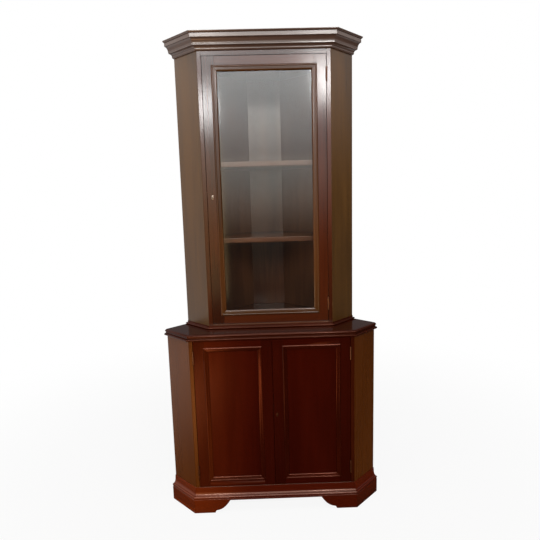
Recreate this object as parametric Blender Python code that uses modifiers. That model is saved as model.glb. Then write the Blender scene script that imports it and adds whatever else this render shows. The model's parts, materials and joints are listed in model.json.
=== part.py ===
"""A two-part mahogany corner cabinet: a glazed upper cupboard on a base with two panelled doors.

Metres, +Z up. The front faces -Y, and the two backs lie along the walls of a room's corner,
at 45 degrees to the front. The origin is on the floor, in the middle of the cabinet's bounding box.
"""

import math

import bmesh
import bpy
from mathutils import Matrix, Vector

# Overall sizes
HEIGHT = 1.860
LOWER_HEIGHT = 0.745
LOWER_FRONT_HALF = 0.3235
LOWER_CANT_RUN = 0.1000
UPPER_FRONT_HALF = 0.2495
UPPER_CANT_RUN = 0.0985
CORNER_FLAT_HALF = 0.078

# Boards
SIDE_THICKNESS = 0.018
STILE_THICKNESS = 0.020
BACK_THICKNESS = 0.012
BACK_REBATE_LIP = 0.008
SHELF_THICKNESS = 0.020
FLOOR_THICKNESS = 0.018
DUST_BOARD_THICKNESS = 0.018
HOUSING_DEPTH = 0.005
UPPER_STILE_WIDTH = 0.016
LOWER_STILE_WIDTH = 0.0145
TOP_RAIL_SHOWN = 0.017
CARCASS_FOOT_CLEARANCE = 0.020
SHELF_SETBACK = 0.030
UPPER_SHELF_HEIGHTS = {"high": 1.394, "low": 1.094}
LOWER_SHELF_HEIGHT = 0.410
DOOR_STOP_LAP = 0.014

# Mouldings and plinth
CORNICE_HEIGHT = 0.057
CORNICE_PROJECTION = 0.050
TOP_THICKNESS = 0.027
TOP_PROJECTION = 0.0145
WAIST_HEIGHT = 0.0125
WAIST_PROJECTION = 0.0125
PLINTH_HEIGHT = 0.103
PLINTH_PROJECTION = 0.019
PLINTH_OGEE_HEIGHT = 0.0285
APRON_CLEARANCE = 0.053
FOOT_INSET = 0.087
BRACKET_LENGTH = 0.051
BRACKET_TOE = 0.011
REAR_FOOT_HALF = 0.062
REAR_FOOT_DEPTH = 0.060

# Doors
DOOR_THICKNESS = 0.020
DOOR_GAP = 0.0016
UPPER_DOOR_STILE = 0.034
UPPER_DOOR_RAIL = 0.032
UPPER_MOULDING_WIDTH = 0.0215
UPPER_MOULDING_PROUD = 0.004
GLASS_SETBACK = 0.0065
GLASS_THICKNESS = 0.003
GLASS_LIP = 0.0085
GLASS_CLEARANCE = 0.001
LOWER_DOOR_STILE = 0.0393
LOWER_DOOR_TOP_RAIL = 0.0265
LOWER_DOOR_BOTTOM_RAIL = 0.0220
LOWER_MOULDING_WIDTH = 0.018
LOWER_MOULDING_PROUD = 0.0035
PANEL_SETBACK = 0.006
PANEL_THICKNESS = 0.008
PANEL_TONGUE = 0.006
MOULDING_LAP = 0.0035

# Hinges
HINGE_LENGTH = 0.051
HINGE_LEAF_WIDTH = 0.0150
HINGE_LEAF_THICKNESS = 0.0012
KNUCKLE_RADIUS = 0.003
KNUCKLE_COUNT = 5
PIN_RADIUS = 0.0012
PIN_PROUD = 0.0015
UPPER_HINGE_INSET = 0.071
LOWER_HINGE_INSET = 0.066

# Locks and bolts
UPPER_LOCK_HEIGHT = 1.2665
LOWER_LOCK_HEIGHT = 0.405
UPPER_BACKSET = 0.0193
LOWER_BACKSET = 0.0133
LOCK_CASE_WIDTH = 0.029
LOCK_CASE_HEIGHT = 0.045
LOCK_CASE_DEPTH = 0.011
LOCK_BOLT_LENGTH = 0.022
LOCK_BOLT_HEIGHT = 0.015
LOCK_BOLT_THICKNESS = 0.004
LOCK_THROW = 0.0065
KEYHOLE_RADIUS = 0.0019
KEYHOLE_SLOT = 0.0062
ESCUTCHEON_HALF_WIDTH = 0.0047
ESCUTCHEON_HALF_HEIGHT = 0.0085
ESCUTCHEON_THICKNESS = 0.001
ROD_RADIUS = 0.003
ROD_THROW = 0.012
ROD_KNOB_RADIUS = 0.0048
ROD_KNOB_HEIGHT = 0.006
ROD_KNOB_ROUNDING = 0.0012
BARREL_LENGTH = 0.040
BARREL_WIDTH = 0.018
BARREL_DEPTH = 0.010
BARREL_EDGE_DISTANCE = 0.021

# Clearances
FIT = 0.0003
BOLT_PLAY = 0.0003

# Places worked out from the sizes
MITRE = math.tan(math.radians(22.5))
MITRE_GAP = FIT / math.cos(math.radians(22.5))
ROOT_HALF = math.sqrt(0.5)
WALL_REACH = LOWER_FRONT_HALF + 2 * LOWER_CANT_RUN
DEPTH = PLINTH_PROJECTION + WALL_REACH - CORNER_FLAT_HALF
LOWER_FRONT_Y = PLINTH_PROJECTION - DEPTH / 2
CORNER_Y = LOWER_FRONT_Y + WALL_REACH
BACK_Y = CORNER_Y - CORNER_FLAT_HALF
UPPER_FRONT_Y = CORNER_Y - UPPER_FRONT_HALF - 2 * UPPER_CANT_RUN
UPPER_OPENING_HALF = UPPER_FRONT_HALF - UPPER_STILE_WIDTH
LOWER_OPENING_HALF = LOWER_FRONT_HALF - LOWER_STILE_WIDTH
UPPER_OPENING_TOP = HEIGHT - CORNICE_HEIGHT - TOP_RAIL_SHOWN
LOWER_OPENING_TOP = LOWER_HEIGHT - TOP_THICKNESS
UPPER_FLOOR_TOP = LOWER_HEIGHT + FIT + FLOOR_THICKNESS
LOWER_DOOR_LOW = PLINTH_HEIGHT + DOOR_GAP
LOWER_DOOR_HIGH = LOWER_OPENING_TOP - DOOR_GAP
SIGNS = {"left": -1, "right": 1}

FINISHES = {
    "mahogany": ((0.090, 0.026, 0.012), 0.28, 0.0),
    "door_mahogany": ((0.065, 0.010, 0.004), 0.25, 0.0),
    "inside_mahogany": ((0.110, 0.045, 0.022), 0.45, 0.0),
    "back_board": ((0.160, 0.085, 0.045), 0.55, 0.0),
    "glass": ((0.80, 0.85, 0.83), 0.03, 0.0),
    "brass": ((0.55, 0.40, 0.16), 0.35, 1.0),
    "steel": ((0.30, 0.29, 0.28), 0.45, 1.0),
}


class Plan:
    """One carcass in plan. u runs along the right cant from its front arris, v inwards from its face."""

    def __init__(self, front_half, cant_run, front_y, opening_half):
        self.front_half = front_half
        self.front_y = front_y
        self.opening_half = opening_half
        self.cant_length = cant_run / ROOT_HALF
        self.back_length = (front_half + cant_run - CORNER_FLAT_HALF) / ROOT_HALF

    def at(self, u, v):
        """The point at u and v, as x and y."""
        return (self.front_half + (u - v) * ROOT_HALF, self.front_y + (u + v) * ROOT_HALF)

    def side_outline(self):
        """The right side board: mitred at the front, and rebated at the rear for the back board."""
        length = self.cant_length
        corners = [(0, 0), (length, 0), (length, BACK_REBATE_LIP)]
        rebate = length - BACK_THICKNESS
        corners += [(rebate, BACK_REBATE_LIP), (rebate, SIDE_THICKNESS)]
        corners += [(SIDE_THICKNESS * MITRE, SIDE_THICKNESS)]
        return [self.at(u, v) for u, v in corners]

    def stile_outline(self):
        """The right front post, mitred to the side board."""
        outer = self.front_half - MITRE_GAP
        back_y = self.front_y + STILE_THICKNESS
        return [
            (self.opening_half, self.front_y),
            (outer, self.front_y),
            (outer - STILE_THICKNESS * MITRE, back_y),
            (self.opening_half, back_y),
        ]

    def back_outline(self):
        """The right back board, from the side's rebate to the mitre with the corner strip."""
        inner = self.cant_length - BACK_THICKNESS + FIT
        start = BACK_REBATE_LIP + FIT
        end = self.back_length - MITRE_GAP / 2
        corners = [(inner, start), (self.cant_length, start), (self.cant_length, end)]
        corners += [(inner, end - (BACK_THICKNESS - FIT) * MITRE)]
        return [self.at(u, v) for u, v in corners]

    def inside(self, front_y, side, back, corner_y):
        """The right half of a level board: its front edge at front_y, its side edge that far in from the
        side board's face, its back edge that far from the front arris, and corner_y at the strip."""
        front = (self.front_half + front_y - self.front_y - side / ROOT_HALF, front_y)
        turn = self.at(back, side)
        strip = (self.front_half + back / ROOT_HALF - (corner_y - self.front_y), corner_y)
        return [front, turn, strip]

    def housed(self, front_y, grow=0.0):
        """Both halves of a board that sits in housings in the sides, the backs and the corner strip."""
        side = SIDE_THICKNESS - HOUSING_DEPTH - grow
        back = self.cant_length - BACK_THICKNESS + HOUSING_DEPTH + grow
        corner_y = BACK_Y - BACK_THICKNESS + HOUSING_DEPTH + grow
        return both_halves(self.inside(front_y - grow, side, back, corner_y))

    def floor_board(self, grow=0.0):
        """A housed board whose front comes forward between the two stiles, flush with their face."""
        back_of_stile = self.front_y + STILE_THICKNESS + FIT
        half_opening = self.opening_half - FIT
        side = SIDE_THICKNESS - HOUSING_DEPTH - grow
        back = self.cant_length - BACK_THICKNESS + HOUSING_DEPTH + grow
        corner_y = BACK_Y - BACK_THICKNESS + HOUSING_DEPTH + grow
        tab = [(half_opening, self.front_y), (half_opening, back_of_stile)]
        return both_halves(tab + self.inside(back_of_stile, side, back, corner_y))

    def front_path(self):
        """A moulding's line round the front, left wall to right wall, with its offset directions."""
        right = [(self.front_half, self.front_y), self.at(self.cant_length, 0)]
        path = [(-x, y) for x, y in reversed(right)] + right
        return path, offsets(path)


UPPER = Plan(UPPER_FRONT_HALF, UPPER_CANT_RUN, UPPER_FRONT_Y, UPPER_OPENING_HALF)
LOWER = Plan(LOWER_FRONT_HALF, LOWER_CANT_RUN, LOWER_FRONT_Y, LOWER_OPENING_HALF)


def both_halves(right_half):
    """A closed outline from its right half, which runs from front to back."""
    return right_half + [(-x, y) for x, y in reversed(right_half)]


def handed(outline, sign):
    """The outline, or its mirror image for the left."""
    return [(sign * x, y) for x, y in outline]


def offsets(path, closed=False):
    """At each point of a path, the vector that moves it one unit to the right of both its runs."""
    count = len(path)
    normals = []
    for i in range(count if closed else count - 1):
        run = Vector(path[(i + 1) % count]) - Vector(path[i])
        run.normalize()
        normals.append(Vector((run.y, -run.x)))
    result = []
    for i in range(count):
        before = normals[i - 1] if closed or i else normals[0]
        after = normals[i] if i < len(normals) else normals[-1]
        result.append((before + after) / (1 + before.dot(after)))
    return result


def arc(centre, radii, start, end, steps):
    """Points on an ellipse's arc, from the start angle to the end angle in degrees."""
    points = []
    for i in range(steps + 1):
        angle = math.radians(start + (end - start) * i / steps)
        points.append((centre[0] + radii[0] * math.cos(angle), centre[1] + radii[1] * math.sin(angle)))
    return points


# Making solids

def clear_scene():
    """Removes whatever the scene holds."""
    for old in list(bpy.data.objects):
        bpy.data.objects.remove(old, do_unlink=True)


def new_collection(name):
    """A collection linked to the scene."""
    made = bpy.data.collections.new(name)
    bpy.context.scene.collection.children.link(made)
    return made


clear_scene()
CABINET = new_collection("corner_cabinet")
CUTTERS = new_collection("cutters")


def material(name, finish):
    """The piece's own Principled material."""
    colour, roughness, metallic = FINISHES[finish]
    made = bpy.data.materials.new(name)
    made.use_nodes = True
    shader = made.node_tree.nodes["Principled BSDF"]
    shader.inputs["Base Color"].default_value = (*colour, 1)
    shader.inputs["Roughness"].default_value = roughness
    shader.inputs["Metallic"].default_value = metallic
    return made


def piece(name, mesh, finish, place=(0, 0, 0)):
    """One sub-part of the cabinet."""
    made = bpy.data.objects.new(name, mesh)
    made.location = place
    CABINET.objects.link(made)
    made.data.materials.append(material(name, finish))
    return made


def tool(name, mesh, place=(0, 0, 0)):
    """A cutter, or a shape to be joined to a piece. It isn't part of the cabinet itself."""
    made = bpy.data.objects.new(name, mesh)
    made.location = place
    made.hide_render = True
    made.display_type = "WIRE"
    CUTTERS.objects.link(made)
    return made


def boolean(target, other, operation="DIFFERENCE"):
    """Cuts other out of the target, or joins it to the target."""
    modifier = target.modifiers.new(other.name, "BOOLEAN")
    modifier.object = other
    modifier.operation = operation
    modifier.solver = "EXACT"


def evaluated_mesh(source):
    """A new mesh of the object as its modifiers leave it."""
    bpy.context.view_layer.update()
    graph = bpy.context.evaluated_depsgraph_get()
    return bpy.data.meshes.new_from_object(source.evaluated_get(graph))


def box_mesh(name, size):
    """A box about its own centre."""
    mesh = bpy.data.meshes.new(name)
    bm = bmesh.new()
    bmesh.ops.create_cube(bm, size=1)
    bmesh.ops.scale(bm, vec=size, verts=bm.verts)
    bm.to_mesh(mesh)
    bm.free()
    return mesh


def box(name, low, high, finish=None):
    """A box between two corners: a piece with that finish, or a tool."""
    size = [b - a for a, b in zip(low, high)]
    centre = [(a + b) / 2 for a, b in zip(low, high)]
    mesh = box_mesh(name, size)
    return piece(name, mesh, finish, centre) if finish else tool(name, mesh, centre)


def flat_mesh(name, outline, thickness):
    """A flat outline as a filled 2D curve, made a closed mesh about its own mid plane."""
    curve = bpy.data.curves.new(name, "CURVE")
    curve.dimensions = "2D"
    curve.fill_mode = "BOTH"
    curve.extrude = thickness / 2
    spline = curve.splines.new("POLY")
    spline.points.add(len(outline) - 1)
    for point, (x, y) in zip(spline.points, outline):
        point.co = (x, y, 0, 1)
    spline.use_cyclic_u = True
    drawn = bpy.data.objects.new(name, curve)
    bpy.context.scene.collection.objects.link(drawn)
    mesh = evaluated_mesh(drawn)
    bpy.data.objects.remove(drawn)
    bm = bmesh.new()
    bm.from_mesh(mesh)
    bmesh.ops.remove_doubles(bm, verts=bm.verts, dist=0.000001)
    bmesh.ops.recalc_face_normals(bm, faces=bm.faces)
    bm.to_mesh(mesh)
    bm.free()
    mesh.name = name
    return mesh


def level_board(name, outline, low, high, finish=None):
    """A plan outline from one height to another: a piece with that finish, or a tool."""
    mesh = flat_mesh(name, outline, high - low)
    place = (0, 0, (low + high) / 2)
    return piece(name, mesh, finish, place) if finish else tool(name, mesh, place)


def upright_board(name, outline, front, back, finish=None):
    """An outline in x and z, from one y to another: a piece with that finish, or a tool."""
    mesh = flat_mesh(name, outline, back - front)
    mesh.transform(Matrix.Rotation(math.radians(90), 4, "X"))
    place = (0, (front + back) / 2, 0)
    return piece(name, mesh, finish, place) if finish else tool(name, mesh, place)


def loft(name, sections, finish, closed=False):
    """A solid through sections of equal counts: capped at both ends, or closed on itself."""
    bm = bmesh.new()
    rings = [[bm.verts.new(point) for point in section] for section in sections]
    count = len(rings[0])
    pairs = list(zip(rings, rings[1:]))
    if closed:
        pairs.append((rings[-1], rings[0]))
    for ring, following in pairs:
        for i in range(count):
            j = (i + 1) % count
            bm.faces.new((ring[i], ring[j], following[j], following[i]))
    if not closed:
        bm.faces.new(rings[0])
        bm.faces.new(rings[-1])
    bmesh.ops.recalc_face_normals(bm, faces=bm.faces)
    mesh = bpy.data.meshes.new(name)
    bm.to_mesh(mesh)
    bm.free()
    return piece(name, mesh, finish)


def level_moulding(name, path, directions, profile, finish):
    """A moulding along a path in plan. The profile's points are an offset outwards and a height."""
    sections = []
    for (x, y), direction in zip(path, directions):
        sections.append([(x + o * direction.x, y + o * direction.y, z) for o, z in profile])
    return loft(name, sections, finish)


def door_moulding(name, low, high, profile, face_y, finish):
    """A mitred frame of moulding on a door. The profile's points are an offset outwards from the sight
    line between the corners low and high, and a depth behind the door's face."""
    path = [(low[0], low[1]), (high[0], low[1]), (high[0], high[1]), (low[0], high[1])]
    sections = []
    for (x, z), direction in zip(path, offsets(path, closed=True)):
        sections.append([(x + o * direction.x, face_y + d, z + o * direction.y) for o, d in profile])
    return loft(name, sections, finish, closed=True)


def cylinder_mesh(name, radius, length, sides=16):
    """An upright cylinder about its own centre."""
    mesh = bpy.data.meshes.new(name)
    bm = bmesh.new()
    bmesh.ops.create_cone(
        bm, cap_ends=True, segments=sides, radius1=radius, radius2=radius, depth=length
    )
    bm.to_mesh(mesh)
    bm.free()
    return mesh


def turned_mesh(name, profile, steps=16):
    """A turned shape: the profile's radii and heights, from top to bottom, screwed round Z."""
    mesh = bpy.data.meshes.new(name)
    edges = [(i, i + 1) for i in range(len(profile) - 1)]
    mesh.from_pydata([(radius, 0, z) for radius, z in profile], edges, [])
    drawn = bpy.data.objects.new(name, mesh)
    bpy.context.scene.collection.objects.link(drawn)
    screw = drawn.modifiers.new("turn", "SCREW")
    screw.steps = steps
    screw.render_steps = steps
    screw.use_merge_vertices = True
    screw.merge_threshold = 0.00001
    made = evaluated_mesh(drawn)
    bpy.data.objects.remove(drawn)
    return made


def axis_empty(name, place):
    """An empty on a joint's axis. A door's pieces are parented to it."""
    empty = bpy.data.objects.new(name, None)
    empty.location = place
    CABINET.objects.link(empty)
    return empty


def hang_on(empty, pieces):
    """Parents the pieces to the empty and leaves them where they are."""
    for part in pieces:
        part.location = part.location - empty.location
        part.parent = empty


# Profiles of the mouldings

def cornice_profile():
    """Base bead, cove, fillet, cavetto, fascia and crown, from the bottom up."""
    bead_seat = 0.0035
    bead_radius = 0.0055
    cove_run = 0.0145
    cove_rise = 0.0080
    cove_step = 0.0010
    fillet_height = 0.0055
    fillet_step = 0.0015
    cavetto_step = 0.0025
    fascia_height = 0.0135
    fascia_step = 0.0005
    crown_run = 0.0085
    crown_height = 0.0065
    crown_edge = 0.0008

    base = HEIGHT - CORNICE_HEIGHT
    bead_top = base + bead_radius
    cove_out = bead_seat + bead_radius + cove_run
    cove_low = bead_top + cove_step
    cove_top = cove_low + cove_rise
    fillet_out = cove_out + fillet_step
    fillet_top = cove_top + fillet_height
    fascia_top = HEIGHT - crown_height
    fascia_low = fascia_top - fascia_height
    cavetto_out = CORNICE_PROJECTION - crown_run
    cavetto = (cavetto_out - cove_out - cavetto_step, fascia_low - fillet_top)
    fascia_out = cavetto_out + fascia_step
    crown = (crown_run - fascia_step, crown_height - crown_edge)

    points = [(FIT, base), (bead_seat, base)]
    points += arc((bead_seat, bead_top), (bead_radius, bead_radius), -90, 0, 4)[1:]
    points += arc((cove_out, cove_low), (cove_run, cove_rise), 180, 90, 4)
    points += [(fillet_out, cove_top), (fillet_out, fillet_top)]
    points += arc((cavetto_out, fillet_top), cavetto, 180, 90, 5)
    points += [(fascia_out, fascia_low), (fascia_out, fascia_top)]
    points += arc((fascia_out, HEIGHT - crown_edge), crown, -90, 0, 4)
    points += [(CORNICE_PROJECTION, HEIGHT), (FIT, HEIGHT)]
    return points


def waist_profile():
    """A cove between two fillets, spreading downwards."""
    low_fillet = 0.0035
    top_fillet = 0.0020
    top_out = 0.0030
    cove_step = 0.0010
    cove_inset = 0.0042

    base = LOWER_HEIGHT + FIT
    top = base + WAIST_HEIGHT
    cove_top = top - top_fillet
    cove = (WAIST_PROJECTION - cove_inset, WAIST_HEIGHT - low_fillet - top_fillet)
    points = [(FIT, base), (WAIST_PROJECTION, base), (WAIST_PROJECTION, base + low_fillet)]
    points += arc((WAIST_PROJECTION - cove_step, cove_top), cove, -90, -180, 4)
    points += [(top_out, cove_top), (top_out, top), (FIT, top)]
    return points


def plinth_profile():
    """An upright face with a rounded arris, and an ogee that draws in to the carcass above it."""
    arris = (0.0025, 0.0035)
    arris_drop = 0.0010
    step_rise = 0.0035
    step_inset = 0.0035
    fillet_height = 0.0060
    fillet_out = 0.0035
    top_out = 0.0025
    hollow_inset = 0.0080

    face_top = PLINTH_HEIGHT - PLINTH_OGEE_HEIGHT
    arris_centre = (PLINTH_PROJECTION - arris[0], face_top - arris_drop)
    step_out = PLINTH_PROJECTION - step_inset
    fillet_low = PLINTH_HEIGHT - fillet_height
    hollow = (PLINTH_PROJECTION - hollow_inset, fillet_low - face_top - step_rise)
    points = [(FIT, 0), (PLINTH_PROJECTION, 0), (PLINTH_PROJECTION, face_top - 2 * arris_drop)]
    points += arc(arris_centre, arris, 15, 90, 3)
    points += [(step_out, face_top + step_rise)]
    points += arc((step_out, fillet_low), hollow, -90, -180, 4)
    points += [(fillet_out, fillet_low), (top_out, PLINTH_HEIGHT), (FIT, PLINTH_HEIGHT)]
    return points


def top_edge_profile():
    """The base's top board at its edge, from its underside up: a hollow, a nose, a thumbnail, a quirk."""
    seat = 0.0020
    nose_radius = 0.0025
    nose_rise = 0.0115
    hollow_inset = 0.0030
    hollow_rise = 0.0080
    thumbnail_inset = 0.0015
    quirk_height = 0.0025
    quirk_depth = 0.0010

    under = LOWER_HEIGHT - TOP_THICKNESS
    nose_height = under + nose_rise
    nose_out = TOP_PROJECTION - nose_radius
    hollow = (nose_out - hollow_inset, hollow_rise)
    quirk_low = LOWER_HEIGHT - quirk_height
    thumbnail = (nose_out - thumbnail_inset, quirk_low - nose_height - nose_radius)
    points = [(seat, under)]
    points += arc((seat, nose_height - nose_radius), hollow, -90, 0, 3)[1:]
    points += arc((nose_out, nose_height), (nose_radius, nose_radius), -80, 80, 4)
    points += arc((nose_out, quirk_low), thumbnail, -105, -180, 3)
    points += [(-quirk_depth, quirk_low), (-quirk_depth, LOWER_HEIGHT)]
    return points


def door_moulding_profile(width, proud, seat):
    """From the sight line out: a step to the seat, an ovolo, a quirk and a bead that laps the frame."""
    sight_step = 0.0025
    ovolo_share = 0.42
    quirk_depth = 0.0008
    land_depth = 0.0012
    land_gap = 0.0030
    bead_width = 0.0042
    bead_shares = (0.72, 0.55)
    bead_seat_share = 0.45
    edge_share = 0.30

    inner_edge = width - MOULDING_LAP - FIT
    ovolo = width * ovolo_share
    step_depth = seat - sight_step
    bead_centre = (width - bead_width, -proud * bead_seat_share)
    bead = (bead_width * bead_shares[0], proud * bead_shares[1])
    points = [(0, seat - FIT), (0, step_depth)]
    points += arc((ovolo, step_depth), (ovolo, step_depth), 180, 270, 4)[1:]
    points += [(ovolo, -quirk_depth), (width - bead_width - land_gap, -land_depth)]
    points += arc(bead_centre, bead, 200, 340, 5)
    points += [(width, -proud * edge_share), (width, -FIT)]
    points += [(inner_edge, -FIT), (inner_edge, seat - FIT)]
    return points


# Carcass

def cut_housings(boards, housings):
    """Cuts every housing into every board."""
    for board in boards:
        for housing in housings:
            boolean(board, housing)


def walls(prefix, plan, low, high, finish):
    """The sides, stiles, backs and corner strip of one carcass. Returns those that take housings."""
    boards = []
    for side, sign in SIGNS.items():
        outline = handed(plan.side_outline(), sign)
        boards.append(level_board(f"{prefix}_side_{side}", outline, low, high, finish))
        level_board(f"{prefix}_stile_{side}", handed(plan.stile_outline(), sign), low, high, finish)
        outline = handed(plan.back_outline(), sign)
        boards.append(level_board(f"{prefix}_back_{side}", outline, low, high, "back_board"))
    outer_half = CORNER_FLAT_HALF - MITRE_GAP / 2
    inner_half = outer_half - BACK_THICKNESS * MITRE
    outline = both_halves([(inner_half, BACK_Y - BACK_THICKNESS), (outer_half, BACK_Y)])
    boards.append(level_board(f"{prefix}_back_corner", outline, low, high, "back_board"))
    return boards


def housed_board(name, plan, low, high, front_y=None):
    """A level board in housings: a shelf whose front edge is at front_y, or a floor between the stiles.
    Returns the tool that cuts its housings."""

    def outline(grow):
        """The board's outline, grown by a clearance."""
        return plan.floor_board(grow) if front_y is None else plan.housed(front_y, grow)

    level_board(name, outline(0.0), low, high, "inside_mahogany")
    return level_board(name + "_housing", outline(FIT), low - FIT, high + FIT)


def upper_carcass():
    """The upper cupboard's boards, shelves, cornice and waist moulding."""
    boards = walls("upper", UPPER, LOWER_HEIGHT + FIT, HEIGHT, "mahogany")
    half = UPPER_OPENING_HALF - FIT
    rail_back = UPPER_FRONT_Y + STILE_THICKNESS
    rail_low = (-half, UPPER_FRONT_Y, UPPER_OPENING_TOP)
    box("upper_top_rail", rail_low, (half, rail_back, HEIGHT), "mahogany")
    shelf_front = rail_back + SHELF_SETBACK
    stop_low = UPPER_OPENING_TOP - DOOR_STOP_LAP
    stop_high = stop_low + DUST_BOARD_THICKNESS
    housings = [
        housed_board("upper_bottom_board", UPPER, LOWER_HEIGHT + FIT, UPPER_FLOOR_TOP),
        housed_board("upper_top_board", UPPER, stop_low, stop_high, rail_back + FIT),
    ]
    for label, height in UPPER_SHELF_HEIGHTS.items():
        low = height - SHELF_THICKNESS / 2
        housings.append(
            housed_board(f"upper_shelf_{label}", UPPER, low, low + SHELF_THICKNESS, shelf_front)
        )
    cut_housings(boards, housings)
    path, directions = UPPER.front_path()
    level_moulding("cornice", path, directions, cornice_profile(), "mahogany")
    level_moulding("waist_moulding", path, directions, waist_profile(), "mahogany")


def lower_carcass():
    """The base's boards, its floor and its shelf."""
    boards = walls("lower", LOWER, CARCASS_FOOT_CLEARANCE, LOWER_OPENING_TOP - FIT, "mahogany")
    floor_low = PLINTH_HEIGHT - FLOOR_THICKNESS
    shelf_front = LOWER_FRONT_Y + STILE_THICKNESS + SHELF_SETBACK
    shelf_low = LOWER_SHELF_HEIGHT - SHELF_THICKNESS / 2
    housings = [
        housed_board("lower_bottom_board", LOWER, floor_low, PLINTH_HEIGHT),
        housed_board("lower_shelf", LOWER, shelf_low, shelf_low + SHELF_THICKNESS, shelf_front),
    ]
    cut_housings(boards, housings)


def lower_top():
    """The base's top board: a stack of plan outlines, one for each point of the moulded edge."""
    path, directions = LOWER.front_path()
    back = [(CORNER_FLAT_HALF, BACK_Y), (-CORNER_FLAT_HALF, BACK_Y)]
    sections = []
    for out, z in top_edge_profile():
        edge = [(x + out * d.x, y + out * d.y, z) for (x, y), d in zip(path, directions)]
        sections.append(edge + [(x, y, z) for x, y in back])
    return loft("lower_top_board", sections, "mahogany")


def bracket_outline():
    """The opening between the front's bracket feet, in x and z: on each side a toe, then an ogee."""
    lift = 0.10
    pull = 0.45
    top_pull = 0.28
    top_drop = 0.52
    steps = 8
    foot = LOWER_FRONT_HALF - FOOT_INSET + BRACKET_TOE
    sweep_x = foot - BRACKET_TOE
    rise = APRON_CLEARANCE - BRACKET_TOE
    below = -BRACKET_TOE
    right = [(foot, below), (foot, 0)]
    right += arc((sweep_x, 0), (BRACKET_TOE, BRACKET_TOE), 25, 90, 3)
    start = Vector((sweep_x, BRACKET_TOE))
    end = Vector((sweep_x - BRACKET_LENGTH, APRON_CLEARANCE))
    first_handle = start + Vector((-pull * BRACKET_LENGTH, lift * rise))
    second_handle = end + Vector((top_pull * BRACKET_LENGTH, -top_drop * rise))
    for i in range(1, steps):
        t = i / steps
        s = 1 - t
        point = s**3 * start + 3 * s * s * t * first_handle
        point += 3 * s * t * t * second_handle + t**3 * end
        right.append((point.x, point.y))
    right.append((end.x, end.y))
    return both_halves(right)


def plinth():
    """The plinth's front board with its bracket feet, the two canted boards, and the rear foot."""
    path, directions = LOWER.front_path()
    profile = plinth_profile()
    left, front_left, front_right, right = path
    inward = Vector((MITRE_GAP, 0))
    front_path = [Vector(front_left) + inward, Vector(front_right) - inward]
    front = level_moulding("plinth_front", front_path, directions[1:3], profile, "mahogany")
    cut_front = LOWER_FRONT_Y - 2 * PLINTH_PROJECTION
    cut_back = LOWER_FRONT_Y + PLINTH_PROJECTION
    boolean(front, upright_board("bracket_cut", bracket_outline(), cut_front, cut_back))
    level_moulding("plinth_left", [left, front_left], directions[:2], profile, "mahogany")
    level_moulding("plinth_right", [front_right, right], directions[2:], profile, "mahogany")
    back_y = BACK_Y - BACK_THICKNESS - FIT
    front_y = back_y - REAR_FOOT_DEPTH
    foot = both_halves([(REAR_FOOT_HALF / 2, front_y), (REAR_FOOT_HALF, back_y)])
    level_board("rear_foot", foot, 0, PLINTH_HEIGHT - FLOOR_THICKNESS - FIT, "back_board")


# Hinges

def leaf_outline(own_first):
    """A hinge leaf flat, as y and z. Its front edge is cut away past the other leaf's knuckles."""
    clear = KNUCKLE_RADIUS + FIT
    step = HINGE_LENGTH / KNUCKLE_COUNT
    half = HINGE_LENGTH / 2
    front = []
    for k in range(KNUCKLE_COUNT):
        own = (k % 2 == 0) == own_first
        reach = 0.0 if own else clear
        inset = FIT / 2 if own else -FIT / 2
        low = -half + k * step + (inset if k else 0)
        high = -half + (k + 1) * step - (inset if k < KNUCKLE_COUNT - 1 else 0)
        front += [(reach, low), (reach, high)]
    return front + [(HINGE_LEAF_WIDTH, half), (HINGE_LEAF_WIDTH, -half)]


def leaf_mesh(name, own_first):
    """A hinge leaf with its knuckles, the hinge's axis at the origin: the frame's leaf has the pin fast
    in it and lies at +X, and the door's leaf is bored for the pin and lies at -X."""
    sign = 1 if own_first else -1
    mesh = flat_mesh(name, leaf_outline(own_first), HINGE_LEAF_THICKNESS)
    mesh.transform(Matrix(((0, 0, 1, 0), (1, 0, 0, 0), (0, 1, 0, 0), (0, 0, 0, 1))))
    mesh.transform(Matrix.Translation((sign * (FIT / 2 + HINGE_LEAF_THICKNESS / 2), 0, 0)))
    leaf = tool(name, mesh)
    step = HINGE_LENGTH / KNUCKLE_COUNT
    for k in range(KNUCKLE_COUNT):
        if (k % 2 == 0) == own_first:
            length = step - FIT
            z = (k + 0.5) * step - HINGE_LENGTH / 2
            knuckle = cylinder_mesh(f"{name}_knuckle_{k}", KNUCKLE_RADIUS, length, 12)
            boolean(leaf, tool(f"{name}_knuckle_{k}", knuckle, (0, 0, z)), "UNION")
    if own_first:
        pin = cylinder_mesh("hinge_pin", PIN_RADIUS, HINGE_LENGTH - FIT - KNUCKLE_RADIUS / 2, 10)
        boolean(leaf, tool("hinge_pin", pin), "UNION")
    else:
        bore = cylinder_mesh("hinge_bore", PIN_RADIUS + FIT, 2 * HINGE_LENGTH, 10)
        boolean(leaf, tool("hinge_bore", bore))
    made = evaluated_mesh(leaf)
    made.name = name
    return made


HINGE_MESHES = {}


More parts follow.
